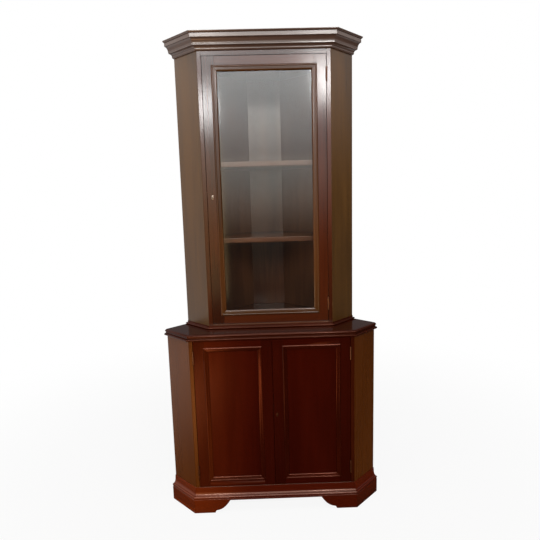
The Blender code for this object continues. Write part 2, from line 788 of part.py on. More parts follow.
def hinge(name, axis, z, sign, door_members, frame_members):
    """A butt hinge at that height on a door's axis, let into door and frame. sign is 1 on the right."""
    if not HINGE_MESHES:
        HINGE_MESHES["frame"] = leaf_mesh("frame_leaf", True)
        HINGE_MESHES["door"] = leaf_mesh("door_leaf", False)
    leaves = []
    for kind in ("frame", "door"):
        leaf = piece(f"{name}_{kind}_leaf", HINGE_MESHES[kind].copy(), "brass", (axis[0], axis[1], z))
        if sign < 0:
            leaf.rotation_euler = (0, math.pi, 0)
        leaves.append(leaf)
    half = HINGE_LENGTH / 2 + FIT
    deep = axis[1] + HINGE_LEAF_WIDTH + FIT
    reach = FIT / 2 + HINGE_LEAF_THICKNESS + FIT
    clear = KNUCKLE_RADIUS + FIT
    front = axis[1] - 4 * KNUCKLE_RADIUS
    low = (axis[0] - reach, front, z - half)
    high = (axis[0] + reach, deep, z + half)
    leaf_pocket = box(f"{name}_leaf_pocket", low, high)
    low = (axis[0] - clear, front, z - half)
    high = (axis[0] + clear, axis[1] + clear, z + half)
    knuckle_pocket = box(f"{name}_knuckle_pocket", low, high)
    for member in door_members + frame_members:
        boolean(member, leaf_pocket)
        boolean(member, knuckle_pocket)
    return leaves[1]


# Locks and bolts

def keyhole_outline(x, z, grow=0.0):
    """A keyhole in x and z: a round head with a slot below it."""
    radius = KEYHOLE_RADIUS + grow
    half_slot = radius * 0.5
    bottom = z - KEYHOLE_SLOT - grow
    head = arc((x, z), (radius, radius), -60, 240, 8)
    return [(x + half_slot, bottom)] + head + [(x - half_slot, bottom)]


def lock(prefix, edge_x, sign, z, backset, front_y, door_member):
    """A cut cupboard lock in a door's free edge. sign is the way from the edge into the door.
    Returns the pieces that ride on the door, the bolt last."""
    back_y = front_y + DOOR_THICKNESS
    half_height = LOCK_CASE_HEIGHT / 2

    def x_span(start, end):
        """The low and high x of a span measured from the door's edge inwards."""
        return sorted((edge_x + sign * start, edge_x + sign * end))

    def span_box(name, start, end, low_y, high_y, half, finish=None):
        """A box from start to end in from the edge, centred on the lock's height."""
        low_x, high_x = x_span(start, end)
        return box(name, (low_x, low_y, z - half), (high_x, high_y, z + half), finish)

    pocket_y = back_y - LOCK_CASE_DEPTH - FIT
    outside = -2 * DOOR_GAP
    pocket_end = LOCK_CASE_WIDTH + FIT
    pocket_half = half_height + FIT
    pocket = span_box(
        f"{prefix}_lock_pocket", outside, pocket_end, pocket_y, back_y + FIT, pocket_half
    )
    boolean(door_member, pocket)
    case_y = back_y - LOCK_CASE_DEPTH
    case = span_box(
        f"{prefix}_lock_case", 0, LOCK_CASE_WIDTH, case_y, back_y, half_height, "steel"
    )
    bolt_mid = back_y - LOCK_CASE_DEPTH / 2
    bolt_half = LOCK_BOLT_THICKNESS / 2
    channel_half = bolt_half + BOLT_PLAY
    channel_end = FIT + LOCK_BOLT_LENGTH + BOLT_PLAY
    channel = span_box(
        f"{prefix}_bolt_channel",
        outside,
        channel_end,
        bolt_mid - channel_half,
        bolt_mid + channel_half,
        LOCK_BOLT_HEIGHT / 2 + BOLT_PLAY,
    )
    boolean(case, channel)
    bolt = span_box(
        f"{prefix}_lock_bolt",
        FIT,
        FIT + LOCK_BOLT_LENGTH,
        bolt_mid - bolt_half,
        bolt_mid + bolt_half,
        LOCK_BOLT_HEIGHT / 2,
        "brass",
    )
    key_x = edge_x + sign * backset
    keyhole_front = front_y - 4 * ESCUTCHEON_THICKNESS
    keyway = upright_board(f"{prefix}_keyway", keyhole_outline(key_x, z), keyhole_front, bolt_mid)
    oval = arc((key_x, z), (ESCUTCHEON_HALF_WIDTH, ESCUTCHEON_HALF_HEIGHT), 0, 360, 20)[:-1]
    plate_back = front_y - FIT
    plate_front = plate_back - ESCUTCHEON_THICKNESS
    escutcheon = upright_board(f"{prefix}_escutcheon", oval, plate_front, plate_back, "brass")
    for cut in (door_member, case, escutcheon):
        boolean(cut, keyway)
    return [case, escutcheon, bolt]


def strike(name, member, edge_x, sign, z, front_y):
    """The mortise that a lock's bolt enters. sign is the way from the door's edge into the door."""
    bolt_mid = front_y + DOOR_THICKNESS - LOCK_CASE_DEPTH / 2
    half_thick = LOCK_BOLT_THICKNESS / 2 + BOLT_PLAY
    half_high = LOCK_BOLT_HEIGHT / 2 + BOLT_PLAY
    deep = edge_x - sign * (LOCK_THROW + BOLT_PLAY)
    low_x, high_x = sorted((edge_x, deep))
    low = (low_x, bolt_mid - half_thick, z - half_high)
    high = (high_x, bolt_mid + half_thick, z + half_high)
    boolean(member, box(name, low, high))


def barrel_bolt(x, door_back_y, door_top, top_board):
    """A barrel bolt inside the left door. Its rod slides up into the base's top board."""
    case_top = door_top - DOOR_GAP
    case_low = case_top - BARREL_LENGTH
    plate_y = door_back_y + FIT
    rod_y = plate_y + BARREL_DEPTH / 2 + ROD_RADIUS / 2
    half_width = BARREL_WIDTH / 2
    plate_back = rod_y - ROD_RADIUS / 2
    plate_low = (x - half_width, plate_y, case_low)
    plate_high = (x + half_width, plate_back, case_top)
    case = box("barrel_bolt_case", plate_low, plate_high, "brass")
    barrel = cylinder_mesh("barrel", 2 * ROD_RADIUS, BARREL_LENGTH - FIT)
    boolean(case, tool("barrel", barrel, (x, rod_y, (case_low + case_top) / 2)), "UNION")
    bore = cylinder_mesh("rod_bore", ROD_RADIUS + FIT, 2 * BARREL_LENGTH)
    boolean(case, tool("rod_bore", bore, (x, rod_y, (case_low + case_top) / 2)))
    knob_low = -BARREL_LENGTH - ROD_THROW - FIT - ROD_KNOB_HEIGHT
    knob_top = knob_low + ROD_KNOB_HEIGHT
    profile = [(0, 0), (ROD_RADIUS, -ROD_RADIUS / 3), (ROD_RADIUS, knob_top)]
    profile += [(ROD_KNOB_RADIUS, knob_top - ROD_KNOB_ROUNDING)]
    profile += [(ROD_KNOB_RADIUS, knob_low + ROD_KNOB_ROUNDING), (0, knob_low)]
    rod_mesh = turned_mesh("barrel_bolt_rod", profile)
    rod = piece("barrel_bolt_rod", rod_mesh, "brass", (x, rod_y, case_top))
    hole_top = case_top + ROD_THROW + 2 * FIT
    hole = cylinder_mesh("rod_hole", ROD_RADIUS + 2 * FIT, 2 * (hole_top - LOWER_OPENING_TOP))
    boolean(top_board, tool("rod_hole", hole, (x, rod_y, LOWER_OPENING_TOP)))
    return [case, rod]


# Doors

def upper_door():
    """The glazed door: four frame members rebated for the pane, the pane, and the glazing moulding."""
    front = UPPER_FRONT_Y
    back = front + DOOR_THICKNESS
    half = UPPER_OPENING_HALF - DOOR_GAP
    bottom = UPPER_FLOOR_TOP + DOOR_GAP
    top = UPPER_OPENING_TOP - DOOR_GAP
    mould_x = half - UPPER_DOOR_STILE
    mould_low = bottom + UPPER_DOOR_RAIL
    mould_high = top - UPPER_DOOR_RAIL
    edge_x = mould_x - MOULDING_LAP
    edge_low = mould_low + MOULDING_LAP
    edge_high = mould_high - MOULDING_LAP
    lip_x = edge_x - GLASS_LIP
    lip_low = edge_low + GLASS_LIP
    lip_high = edge_high - GLASS_LIP
    rail_x = lip_x - FIT
    spans = {
        "stile_left": ((-half, bottom), (-lip_x, top)),
        "stile_right": ((lip_x, bottom), (half, top)),
        "rail_top": ((-rail_x, lip_high), (rail_x, top)),
        "rail_bottom": ((-rail_x, bottom), (rail_x, lip_low)),
    }
    members = {}
    for label, (low, high) in spans.items():
        low_corner = (low[0], front, low[1])
        high_corner = (high[0], back, high[1])
        members[label] = box(f"upper_door_{label}", low_corner, high_corner, "mahogany")
    glass_front = front + GLASS_SETBACK
    glass_back = glass_front + GLASS_THICKNESS
    rebate_low = (-edge_x, front - DOOR_THICKNESS, edge_low)
    rebate = box("glass_rebate", rebate_low, (edge_x, glass_back + FIT, edge_high))
    for member in members.values():
        boolean(member, rebate)
    glass_x = edge_x - GLASS_CLEARANCE
    glass_low = (-glass_x, glass_front, edge_low + GLASS_CLEARANCE)
    glass_high = (glass_x, glass_back, edge_high - GLASS_CLEARANCE)
    glass = box("upper_door_glass", glass_low, glass_high, "glass")
    width = UPPER_MOULDING_WIDTH
    sight_low = (-(mould_x - width), mould_low + width)
    sight_high = (mould_x - width, mould_high - width)
    profile = door_moulding_profile(width, UPPER_MOULDING_PROUD, GLASS_SETBACK)
    moulding = door_moulding("upper_door_moulding", sight_low, sight_high, profile, front, "mahogany")

    axis = (UPPER_OPENING_HALF - DOOR_GAP / 2, front - PIN_PROUD)
    hinge_heights = {"low": bottom + UPPER_HINGE_INSET, "high": top - UPPER_HINGE_INSET}
    frame_stile = bpy.data.objects["upper_stile_right"]
    door_stile = members["stile_right"]
    riders = list(members.values()) + [glass, moulding]
    for label, z in hinge_heights.items():
        riders.append(hinge(f"upper_hinge_{label}", axis, z, 1, [door_stile], [frame_stile]))
    riders += lock("upper", -half, 1, UPPER_LOCK_HEIGHT, UPPER_BACKSET, front, members["stile_left"])
    left_stile = bpy.data.objects["upper_stile_left"]
    strike("upper_strike", left_stile, -half, 1, UPPER_LOCK_HEIGHT, front)
    hang_on(axis_empty("upper_door_axis", (*axis, bottom)), riders)


def lower_door(side, sign):
    """One panelled door: its frame, its panel in the frame's groove, and the moulding round the panel.
    Returns the frame, the hinges' axis in plan, and the pieces that ride on the door."""
    front = LOWER_FRONT_Y
    back = front + DOOR_THICKNESS
    hinge_edge = sign * (LOWER_OPENING_HALF - DOOR_GAP)
    free_edge = sign * DOOR_GAP / 2
    low_x, high_x = sorted((hinge_edge, free_edge))
    low = (low_x, front, LOWER_DOOR_LOW)
    high = (high_x, back, LOWER_DOOR_HIGH)
    name = f"lower_{side}_door"
    frame = box(f"{name}_frame", low, high, "door_mahogany")
    mould_low = (low_x + LOWER_DOOR_STILE, LOWER_DOOR_LOW + LOWER_DOOR_BOTTOM_RAIL)
    mould_high = (high_x - LOWER_DOOR_STILE, LOWER_DOOR_HIGH - LOWER_DOOR_TOP_RAIL)
    edge_low = [v + MOULDING_LAP for v in mould_low]
    edge_high = [v - MOULDING_LAP for v in mould_high]
    opening = box(
        f"{name}_opening",
        (edge_low[0], front - DOOR_THICKNESS, edge_low[1]),
        (edge_high[0], back + DOOR_THICKNESS, edge_high[1]),
    )
    boolean(frame, opening)
    panel_low = [v - PANEL_TONGUE for v in edge_low]
    panel_high = [v + PANEL_TONGUE for v in edge_high]
    panel_front = front + PANEL_SETBACK
    panel_back = panel_front + PANEL_THICKNESS
    groove = box(
        f"{name}_groove",
        (panel_low[0] - FIT, panel_front - FIT, panel_low[1] - FIT),
        (panel_high[0] + FIT, panel_back + FIT, panel_high[1] + FIT),
    )
    boolean(frame, groove)
    panel = box(
        f"{name}_panel",
        (panel_low[0], panel_front, panel_low[1]),
        (panel_high[0], panel_back, panel_high[1]),
        "door_mahogany",
    )
    sight_low = [v + LOWER_MOULDING_WIDTH for v in mould_low]
    sight_high = [v - LOWER_MOULDING_WIDTH for v in mould_high]
    profile = door_moulding_profile(LOWER_MOULDING_WIDTH, LOWER_MOULDING_PROUD, PANEL_SETBACK)
    moulding = door_moulding(
        f"{name}_moulding", sight_low, sight_high, profile, front, "door_mahogany"
    )

    axis = (sign * (LOWER_OPENING_HALF - DOOR_GAP / 2), front - PIN_PROUD)
    frame_stile = bpy.data.objects[f"lower_stile_{side}"]
    hinge_heights = {
        "low": LOWER_DOOR_LOW + LOWER_HINGE_INSET,
        "high": LOWER_DOOR_HIGH - LOWER_HINGE_INSET,
    }
    riders = [frame, panel, moulding]
    for label, z in hinge_heights.items():
        riders.append(hinge(f"lower_{side}_hinge_{label}", axis, z, sign, [frame], [frame_stile]))
    return frame, axis, riders


def lower_doors(top_board):
    """The base's two doors, with the lock in the right one and the barrel bolt on the left one."""
    back_y = LOWER_FRONT_Y + DOOR_THICKNESS
    half_gap = DOOR_GAP / 2
    left_frame, left_axis, left_riders = lower_door("left", -1)
    right_frame, right_axis, right_riders = lower_door("right", 1)
    right_riders += lock(
        "lower", half_gap, 1, LOWER_LOCK_HEIGHT, LOWER_BACKSET, LOWER_FRONT_Y, right_frame
    )
    strike("lower_strike", left_frame, half_gap, 1, LOWER_LOCK_HEIGHT, LOWER_FRONT_Y)
    left_riders += barrel_bolt(
        -half_gap - BARREL_EDGE_DISTANCE, back_y, LOWER_DOOR_HIGH, top_board
    )
    hang_on(axis_empty("lower_left_door_axis", (*left_axis, LOWER_DOOR_LOW)), left_riders)
    hang_on(axis_empty("lower_right_door_axis", (*right_axis, LOWER_DOOR_LOW)), right_riders)


upper_carcass()
lower_carcass()
plinth()
upper_door()
lower_doors(lower_top())
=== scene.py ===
import json
import math

import bmesh
import bpy
import numpy as np
from mathutils import Matrix, Vector

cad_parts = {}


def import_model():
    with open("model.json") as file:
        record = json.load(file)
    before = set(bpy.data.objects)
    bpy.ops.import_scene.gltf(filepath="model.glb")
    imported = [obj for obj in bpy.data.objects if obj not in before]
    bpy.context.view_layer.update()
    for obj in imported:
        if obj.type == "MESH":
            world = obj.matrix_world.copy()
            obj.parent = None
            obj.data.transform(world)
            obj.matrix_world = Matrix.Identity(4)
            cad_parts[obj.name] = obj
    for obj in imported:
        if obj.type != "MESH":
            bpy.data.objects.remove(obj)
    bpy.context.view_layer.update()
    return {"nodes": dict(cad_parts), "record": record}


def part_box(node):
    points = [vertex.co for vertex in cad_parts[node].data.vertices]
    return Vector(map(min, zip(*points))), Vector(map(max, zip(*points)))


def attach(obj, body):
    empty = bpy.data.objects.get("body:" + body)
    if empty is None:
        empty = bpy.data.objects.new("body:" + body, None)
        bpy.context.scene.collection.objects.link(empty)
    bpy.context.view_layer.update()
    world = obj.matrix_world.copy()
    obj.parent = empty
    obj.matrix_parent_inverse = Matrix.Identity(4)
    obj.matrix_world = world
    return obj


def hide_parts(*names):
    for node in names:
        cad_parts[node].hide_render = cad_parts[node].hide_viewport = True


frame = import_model()

# Places read from the frame
LOWER_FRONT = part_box("lower_stile_right")[0].y
LOWER_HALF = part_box("lower_stile_right")[1].x
LOWER_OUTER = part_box("lower_side_right")[1].x
UPPER_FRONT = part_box("upper_stile_right")[0].y
UPPER_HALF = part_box("upper_stile_right")[1].x
UPPER_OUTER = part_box("upper_side_right")[1].x
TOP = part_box("cornice")[1].z
BASE_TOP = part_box("lower_top_board")[1].z

# Camera, as it stood for the photograph: lens and sensor in millimetres, turns in degrees
LENS = 31.76
SENSOR = 36.0
CAMERA_PLACE = (-0.0287, -2.0023, 1.2647)
CAMERA_YAW = 0.943
CAMERA_DIP = 8.751
CAMERA_ROLL = -1.558

# Points of a mesh that are nearer than this are one point
MERGE = 0.000002

# Fits between the pieces, and the barrel bolt
HAIR = 0.00005
FIT = 0.0003
DOOR_GAP = 0.0016
ROD_THROW = 0.012
ROD_HOLE_RADIUS = 0.0036
MITRE_GAP = FIT / math.cos(math.radians(22.5))
LOWER_HALF_TRUE = LOWER_HALF + MITRE_GAP
UPPER_HALF_TRUE = UPPER_HALF + MITRE_GAP

# Softened arrises
ARRIS = 0.0007
FINE_ARRIS = 0.0004
JOINT_ARRIS = 0.0003
DOOR_MOULDING_ARRIS = 0.0002
LOCK_ARRIS = 0.0003
LEAF_ARRIS = 0.00012
SHELF_ROUNDING = 0.0025

# Angles in degrees between two faces: below the first they are one flat face, over the next two their edge
# is softened, and over the last two it stays sharp
FLAT = 0.5
BOARD_EDGE = 50.0
MOULDING_EDGE = 35.0
SCREW_EDGE = 35.0
PLATE_EDGE = 40.0

# Door mouldings
GLAZING_MOULDING_WIDTH = 0.0215
PANEL_MOULDING_WIDTH = 0.018
MOULDING_LAP = 0.0035

# Directions of the grain, and how far in metres a board's own place in the timber may be moved
UP = (0.0, 0.0, 1.0)
SIDEWAYS = (1.0, 0.0, 0.0)
GRAIN_SPREAD = 4.0

# Patterns of the wood, in waves per metre along the grain and twice across it, and how strong the pore
# pattern is where a pore begins and where it is open
FIGURE = (1.1, 5.0, 5.0)
RIBBON = (1.6, 26.0, 26.0)
FIBRE = (7.0, 320.0, 320.0)
PORE = (95.0, 1500.0, 1500.0)
WAVE = (9.0, 30.0, 30.0)
OPEN_PORE = (0.60, 0.72)

# Patterns of the metal, in waves per metre
FILM = (420.0, 420.0, 420.0)
SCRATCH = (2600.0, 2600.0, 300.0)

# The studio
PLAIN_LIGHT = 0.38
FLOOR_RADIUS = 2.7
BACKDROP_WAY = (-0.45, 0.90, 0.0)
WHITE = (1.0, 1.0, 1.0, 1.0)

DRAW = np.random.default_rng(7)


# Shader maths

class Link:
    """A shader socket that Python's operators work on: each operator adds its Math node."""

    def __init__(self, finish, socket):
        self.finish = finish
        self.socket = socket

    def calculate(self, operation, first, second):
        """One Math node on two values or links."""
        return self.finish.node("ShaderNodeMath", {"operation": operation}, {0: first, 1: second})

    def __add__(self, other):
        return self.calculate("ADD", self, other)

    __radd__ = __add__

    def __sub__(self, other):
        return self.calculate("SUBTRACT", self, other)

    def __rsub__(self, other):
        return self.calculate("SUBTRACT", other, self)

    def __mul__(self, other):
        return self.calculate("MULTIPLY", self, other)

    __rmul__ = __mul__

    def __pow__(self, other):
        return self.calculate("POWER", self, other)


class Finish:
    """A material, a world or a lamp, with the one method that adds nodes to it."""

    def __init__(self, name, owner=None):
        self.owner = owner or bpy.data.materials.new(name)
        self.owner.use_nodes = True
        self.tree = self.owner.node_tree
        self.tree.nodes.clear()

    def feed(self, socket, value):
        """Puts a value or a link on a socket."""
        if isinstance(value, Link):
            self.tree.links.new(value.socket, socket)
        else:
            socket.default_value = value

    def node(self, kind, settings, sockets, output=0):
        """Adds a node, first its settings and then its sockets, and returns one output."""
        made = self.tree.nodes.new(kind)
        for key, value in settings.items():
            setattr(made, key, value)
        for key, value in sockets.items():
            self.feed(made.inputs[key], value)
        return Link(self, made.outputs[output])

    def mix(self, factor, first, second, blend="MIX"):
        """A Mix node on two colours."""
        settings = {"data_type": "RGBA", "blend_type": blend}
        return self.node("ShaderNodeMix", settings, {0: factor, 6: first, 7: second}, 2)

    def noise(self, place, scale, detail=2.0, roughness=0.5, distortion=0.0):
        """Noise on a place that is scaled along each axis by the three numbers of scale."""
        scaled = self.node("ShaderNodeMapping", {}, {"Vector": place, "Scale": scale})
        sockets = {"Vector": scaled, "Scale": 1.0, "Detail": detail, "Roughness": roughness}
        sockets["Distortion"] = distortion
        return self.node("ShaderNodeTexNoise", {}, sockets)

    def span(self, value, low, high):
        """The value's share of the way from low to high, eased, from 0 to 1."""
        settings = {"interpolation_type": "SMOOTHSTEP"}
        sockets = {"Value": value, "From Min": low, "From Max": high}
        return self.node("ShaderNodeMapRange", settings, sockets)

    def towards(self, place):
        """How far a place or a direction lies towards the backdrop, behind and to the left."""
        settings = {"operation": "DOT_PRODUCT"}
        return self.node("ShaderNodeVectorMath", settings, {0: place, 1: BACKDROP_WAY}, 1)

    def end(self, surface):
        """Links the surface to the output and returns what it finishes."""
        kinds = {bpy.types.World: "ShaderNodeOutputWorld", bpy.types.AreaLight: "ShaderNodeOutputLight"}
        kind = kinds.get(type(self.owner), "ShaderNodeOutputMaterial")
        output = self.tree.nodes.new(kind)
        self.tree.links.new(surface.socket, output.inputs["Surface"])
        return self.owner


# Materials

def wood(name, dark, light, ripple, roughness, specular, tint):
    """Polished mahogany. Its pattern lies along the grain, which each piece carries as its own attribute:
    broad figure, ribbons and fine fibres mix the dark tone with the light one, and short pores darken it.
    A higher ripple makes the two tones blend more softly. The base's doors and plinth are painted lighter and
    browner towards their left end: painted light from the left."""
    figure_share, ribbon_share, fibre_share = 0.5, 0.34, 0.16
    wave_height, fibre_height, pore_depth = 0.45, 0.05, 0.10
    pore_share, pore_tone, gloss_spread = 0.35, 0.35, 0.12
    finish = Finish(name)
    grain = finish.node("ShaderNodeAttribute", {"attribute_name": "grain"}, {}, 1)
    figure = finish.noise(grain, FIGURE, distortion=0.6)
    ribbon = finish.noise(grain, RIBBON, detail=3.0, roughness=0.55, distortion=0.4)
    fibre = finish.noise(grain, FIBRE)
    pore = finish.noise(grain, PORE, detail=1.0)
    tone = figure * figure_share + ribbon * ribbon_share + fibre * fibre_share
    tone = finish.span(tone, 0.5 - ripple, 0.5 + ripple)
    colour = finish.mix(tone, (*dark, 1.0), (*light, 1.0))
    # Painted light: the colour is multiplied lighter and browner towards the left end, standing in for light
    # from the left.
    if name in PAINTED_LEFT_LIGHT_WOODS:
        place = finish.node("ShaderNodeTexCoord", {}, {}, 3)
        sideways = finish.node("ShaderNodeSeparateXYZ", {}, {0: place}, 0)
        painted_left_light = finish.span(0.0 - sideways, *PAINTED_LEFT_LIGHT_REACH)
        colour = finish.mix(painted_left_light, colour, (*PAINTED_LEFT_LIGHT, 1.0), "MULTIPLY")
    open_pore = finish.span(pore, *OPEN_PORE)
    pored = finish.mix(open_pore * pore_share, colour, (*[c * pore_tone for c in dark], 1.0))
    wave = finish.noise(grain, WAVE)
    height = wave * wave_height + fibre * fibre_height - open_pore * pore_depth
    bump = finish.node("ShaderNodeBump", {}, {"Strength": 0.35, "Distance": 0.0006, "Height": height})
    shader = finish.node("ShaderNodeBsdfPrincipled", {}, {
        "Base Color": pored,
        "Roughness": ribbon * gloss_spread + (roughness - gloss_spread / 2),
        "Specular IOR Level": specular,
        "Specular Tint": (*tint, 1.0),
        "Normal": bump,
    })
    return finish.end(shader)


def metal(name, bright, dull, roughness, tarnish):
    """Cast metal with a mottled film of tarnish, darker and rougher where the film is thick."""
    film_height, film_roughness = 0.5, 0.22
    finish = Finish(name)
    place = finish.node("ShaderNodeTexCoord", {}, {}, 3)
    film = finish.noise(place, FILM, detail=4.0, roughness=0.6)
    film = finish.span(film, 0.5 - tarnish, 0.5 + tarnish)
    scratch = finish.noise(place, SCRATCH)
    height = scratch + film * film_height
    bump = finish.node("ShaderNodeBump", {}, {"Strength": 0.25, "Distance": 0.0002, "Height": height})
    shader = finish.node("ShaderNodeBsdfPrincipled", {}, {
        "Base Color": finish.mix(film, (*bright, 1.0), (*dull, 1.0)),
        "Roughness": film * film_roughness + roughness,
        "Metallic": 1.0,
        "Normal": bump,
    })
    return finish.end(shader)


def pane():
    """Window glass: what is behind it shows, slightly greened, under a gloss that rises from its least with
    the fifth power of how far the surface turns away."""
    least_gloss = 0.04
    finish = Finish("clear_glass")
    through = finish.node("ShaderNodeBsdfTransparent", {}, {"Color": (0.95, 0.965, 0.955, 1.0)})
    gloss = finish.node("ShaderNodeBsdfPrincipled", {}, {
        "Base Color": WHITE,
        "Metallic": 1.0,
        "Roughness": 0.06,
    })
    facing = finish.node("ShaderNodeLayerWeight", {}, {"Blend": 0.5}, 1)
    share = facing**5.0 * (1.0 - least_gloss) + least_gloss
    surface = finish.node("ShaderNodeMixShader", {}, {0: share, 1: through, 2: gloss})
    return finish.end(surface)


# The woods painted lighter and browner towards their left end as painted light from the left, by which
# factor, and how far to the left of the middle that starts and is full
PAINTED_LEFT_LIGHT_WOODS = ("door_mahogany", "door_frame_mahogany", "door_moulding_mahogany", "plinth_mahogany")
PAINTED_LEFT_LIGHT = (2.3, 4.2, 3.0)
PAINTED_LEFT_LIGHT_REACH = (0.06, 0.36)

# Tints of the polish's gloss
PLAIN = (1.0, 0.99, 0.98)
NEUTRAL = (1.0, 0.96, 0.93)
WARM = (1.0, 0.60, 0.38)
RED = (1.0, 0.45, 0.32)
PALE_RED = (1.0, 0.62, 0.48)
DEEP_RED = (1.0, 0.36, 0.24)

# Each wood's dark and light tone, ripple, roughness, gloss and tint
WOODS = {
    # The cornice's tones are lighter and greyer than the other mahogany: painted sheen, standing in for the
    # hazy light on the top of the cabinet.
    "cornice_mahogany": ((0.060, 0.033, 0.023), (0.106, 0.059, 0.043), 0.22, 0.18, 0.72, NEUTRAL),
    "mahogany": ((0.022, 0.0036, 0.0005), (0.068, 0.0118, 0.0014), 0.17, 0.15, 0.50, PLAIN),
    "glazing_mahogany": ((0.036, 0.0122, 0.0017), (0.082, 0.0245, 0.0042), 0.17, 0.15, 0.50, PLAIN),
    "side_mahogany": ((0.048, 0.0195, 0.0024), (0.108, 0.0455, 0.0060), 0.17, 0.30, 0.68, NEUTRAL),
    "base_mahogany": ((0.014, 0.0016, 0.0004), (0.044, 0.0062, 0.0012), 0.17, 0.15, 0.30, RED),
    "plinth_mahogany": ((0.030, 0.0016, 0.0002), (0.086, 0.0066, 0.0006), 0.20, 0.15, 0.85, PALE_RED),
    "base_side_mahogany": ((0.062, 0.0150, 0.0010), (0.100, 0.0260, 0.0018), 0.26, 0.28, 0.44, WARM),
    "door_mahogany": ((0.020, 0.0011, 0.0002), (0.040, 0.0026, 0.0004), 0.24, 0.20, 0.25, RED),
    "door_frame_mahogany": ((0.014, 0.0009, 0.0002), (0.030, 0.0022, 0.0004), 0.24, 0.20, 0.25, RED),
    "door_moulding_mahogany": (
        (0.012, 0.0009, 0.0002), (0.034, 0.0030, 0.0005), 0.20, 0.13, 0.75, DEEP_RED
    ),
    "inside_mahogany": ((0.048, 0.014, 0.005), (0.128, 0.044, 0.018), 0.18, 0.24, 0.50, NEUTRAL),
    "back_board": ((0.062, 0.020, 0.007), (0.126, 0.047, 0.018), 0.20, 0.50, 0.30, NEUTRAL),
}
FINISHES = {name: wood(name, *values) for name, values in WOODS.items()}
FINISHES["clear_glass"] = pane()
FINISHES["aged_brass"] = metal("aged_brass", (0.42, 0.21, 0.12), (0.16, 0.070, 0.036), 0.28, 0.16)
# This pale brass is partly the plate's own colour and partly a painted highlight, standing in for the glint
# on the upper keyhole plate.
FINISHES["pale_brass_with_painted_glint"] = metal("pale_brass_with_painted_glint", (0.46, 0.38, 0.31), (0.12, 0.075, 0.050), 0.26, 0.12)
# On the glazed door's top hinge this darker brass is painted shade.
FINISHES["dark_brass"] = metal("dark_brass", (0.17, 0.070, 0.040), (0.06, 0.022, 0.013), 0.34, 0.16)
FINISHES["lock_steel"] = metal("lock_steel", (0.42, 0.41, 0.39), (0.16, 0.15, 0.14), 0.34, 0.14)


# Making pieces

def body_of(node):
    """The body that a node rides on."""
    for body, members in frame["record"]["behaviour"]["bodies"].items():
        if node in members:
            return body
    return "carcass"


def lay_grain(mesh, along, places=None):
    """Gives each point of the mesh its place in the timber: how far it is along the grain, and its two
    distances across it, moved by a draw so that no two boards are cut from the same spot."""
    if places is None:
        count = len(mesh.vertices)
        points = np.empty(count * 3)
        mesh.vertices.foreach_get("co", points)
        length = np.array(along, float)
        length /= np.linalg.norm(length)
        side = np.array(UP if abs(length[2]) < 0.5 else SIDEWAYS)
        third = np.cross(length, side)
        places = points.reshape(-1, 3) @ np.column_stack([length, side, third])
        places = places + DRAW.uniform(-GRAIN_SPREAD, GRAIN_SPREAD, 3)
    grain = mesh.attributes.new("grain", "FLOAT_VECTOR", "POINT")
    grain.data.foreach_set("vector", np.ascontiguousarray(places, float).ravel())


def show(mesh, name, finish, body, replaced=(), arris=ARRIS, limit=BOARD_EDGE):
    """Makes a finished piece of a mesh, with softened arrises, riding on its body."""
    piece = bpy.data.objects.new(name, mesh)
    bpy.context.scene.collection.objects.link(piece)
    mesh.materials.clear()
    mesh.materials.append(FINISHES[finish])
    mesh.polygons.foreach_set("use_smooth", np.ones(len(mesh.polygons), bool))
    if arris:
        soft = piece.modifiers.new("arris", "BEVEL")
        soft.width = arris
        soft.segments = 2
        soft.limit_method = "ANGLE"
        soft.angle_limit = math.radians(limit)
        soft.use_clamp_overlap = False
        soft.miter_outer = "MITER_SHARP"
        flat = piece.modifiers.new("flat_faces", "WEIGHTED_NORMAL")
        flat.mode = "FACE_AREA_WITH_ANGLE"
        flat.weight = 80
        flat.keep_sharp = False
    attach(piece, body)
    if replaced:
        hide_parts(*replaced)
    return piece


def node_mesh(node, cuts=()):
    """A copy of a node's mesh with its doubles merged and its flat faces made whole. Each cut is a point
    and a direction, and what lies on the direction's side of it is taken off."""
    bm = bmesh.new()
    bm.from_mesh(frame["nodes"][node].data)
    bmesh.ops.remove_doubles(bm, verts=bm.verts, dist=MERGE)
    for point, away in cuts:
        everything = bm.verts[:] + bm.edges[:] + bm.faces[:]
        cut = bmesh.ops.bisect_plane(
            bm, geom=everything, plane_co=point, plane_no=away, clear_outer=True
        )
        edges = [e for e in cut["geom_cut"] if isinstance(e, bmesh.types.BMEdge)]
        bmesh.ops.holes_fill(bm, edges=edges)
    bmesh.ops.dissolve_limit(bm, angle_limit=math.radians(FLAT), verts=bm.verts, edges=bm.edges)
    mesh = bpy.data.meshes.new(node)
    bm.to_mesh(mesh)
    bm.free()
    return mesh


def lengthen(mesh, along):
    """Moves a board's two ends outwards, so that the fit they leave to the next board closes to a hair."""
    points = np.empty(len(mesh.vertices) * 3)
    mesh.vertices.foreach_get("co", points)
    points = points.reshape(-1, 3)
    along = np.array(along)
    places = points @ along
    points[np.isclose(places, places.min(), 0.0, HAIR)] -= (FIT - HAIR) * along
    points[np.isclose(places, places.max(), 0.0, HAIR)] += (FIT - HAIR) * along
    mesh.vertices.foreach_set("co", points.ravel())


def dress(node, along, finish, arris=ARRIS, close_fit=False):
    """Gives a node's own shape its grain, its finish and softened arrises. A close fit moves its ends too."""
    mesh = node_mesh(node)
    if close_fit:
        lengthen(mesh, along)
    lay_grain(mesh, along)
    show(mesh, node + "_finished", finish, body_of(node), [node], arris)


def arc(centre, radii, start, end, steps=10):
    """Points on an ellipse: its centre, plus its radii times the cosine and sine of even angles."""
    angles = np.radians(np.linspace(start, end, steps + 1))
    return np.column_stack([centre[0] + radii[0] * np.cos(angles), centre[1] + radii[1] * np.sin(angles)])


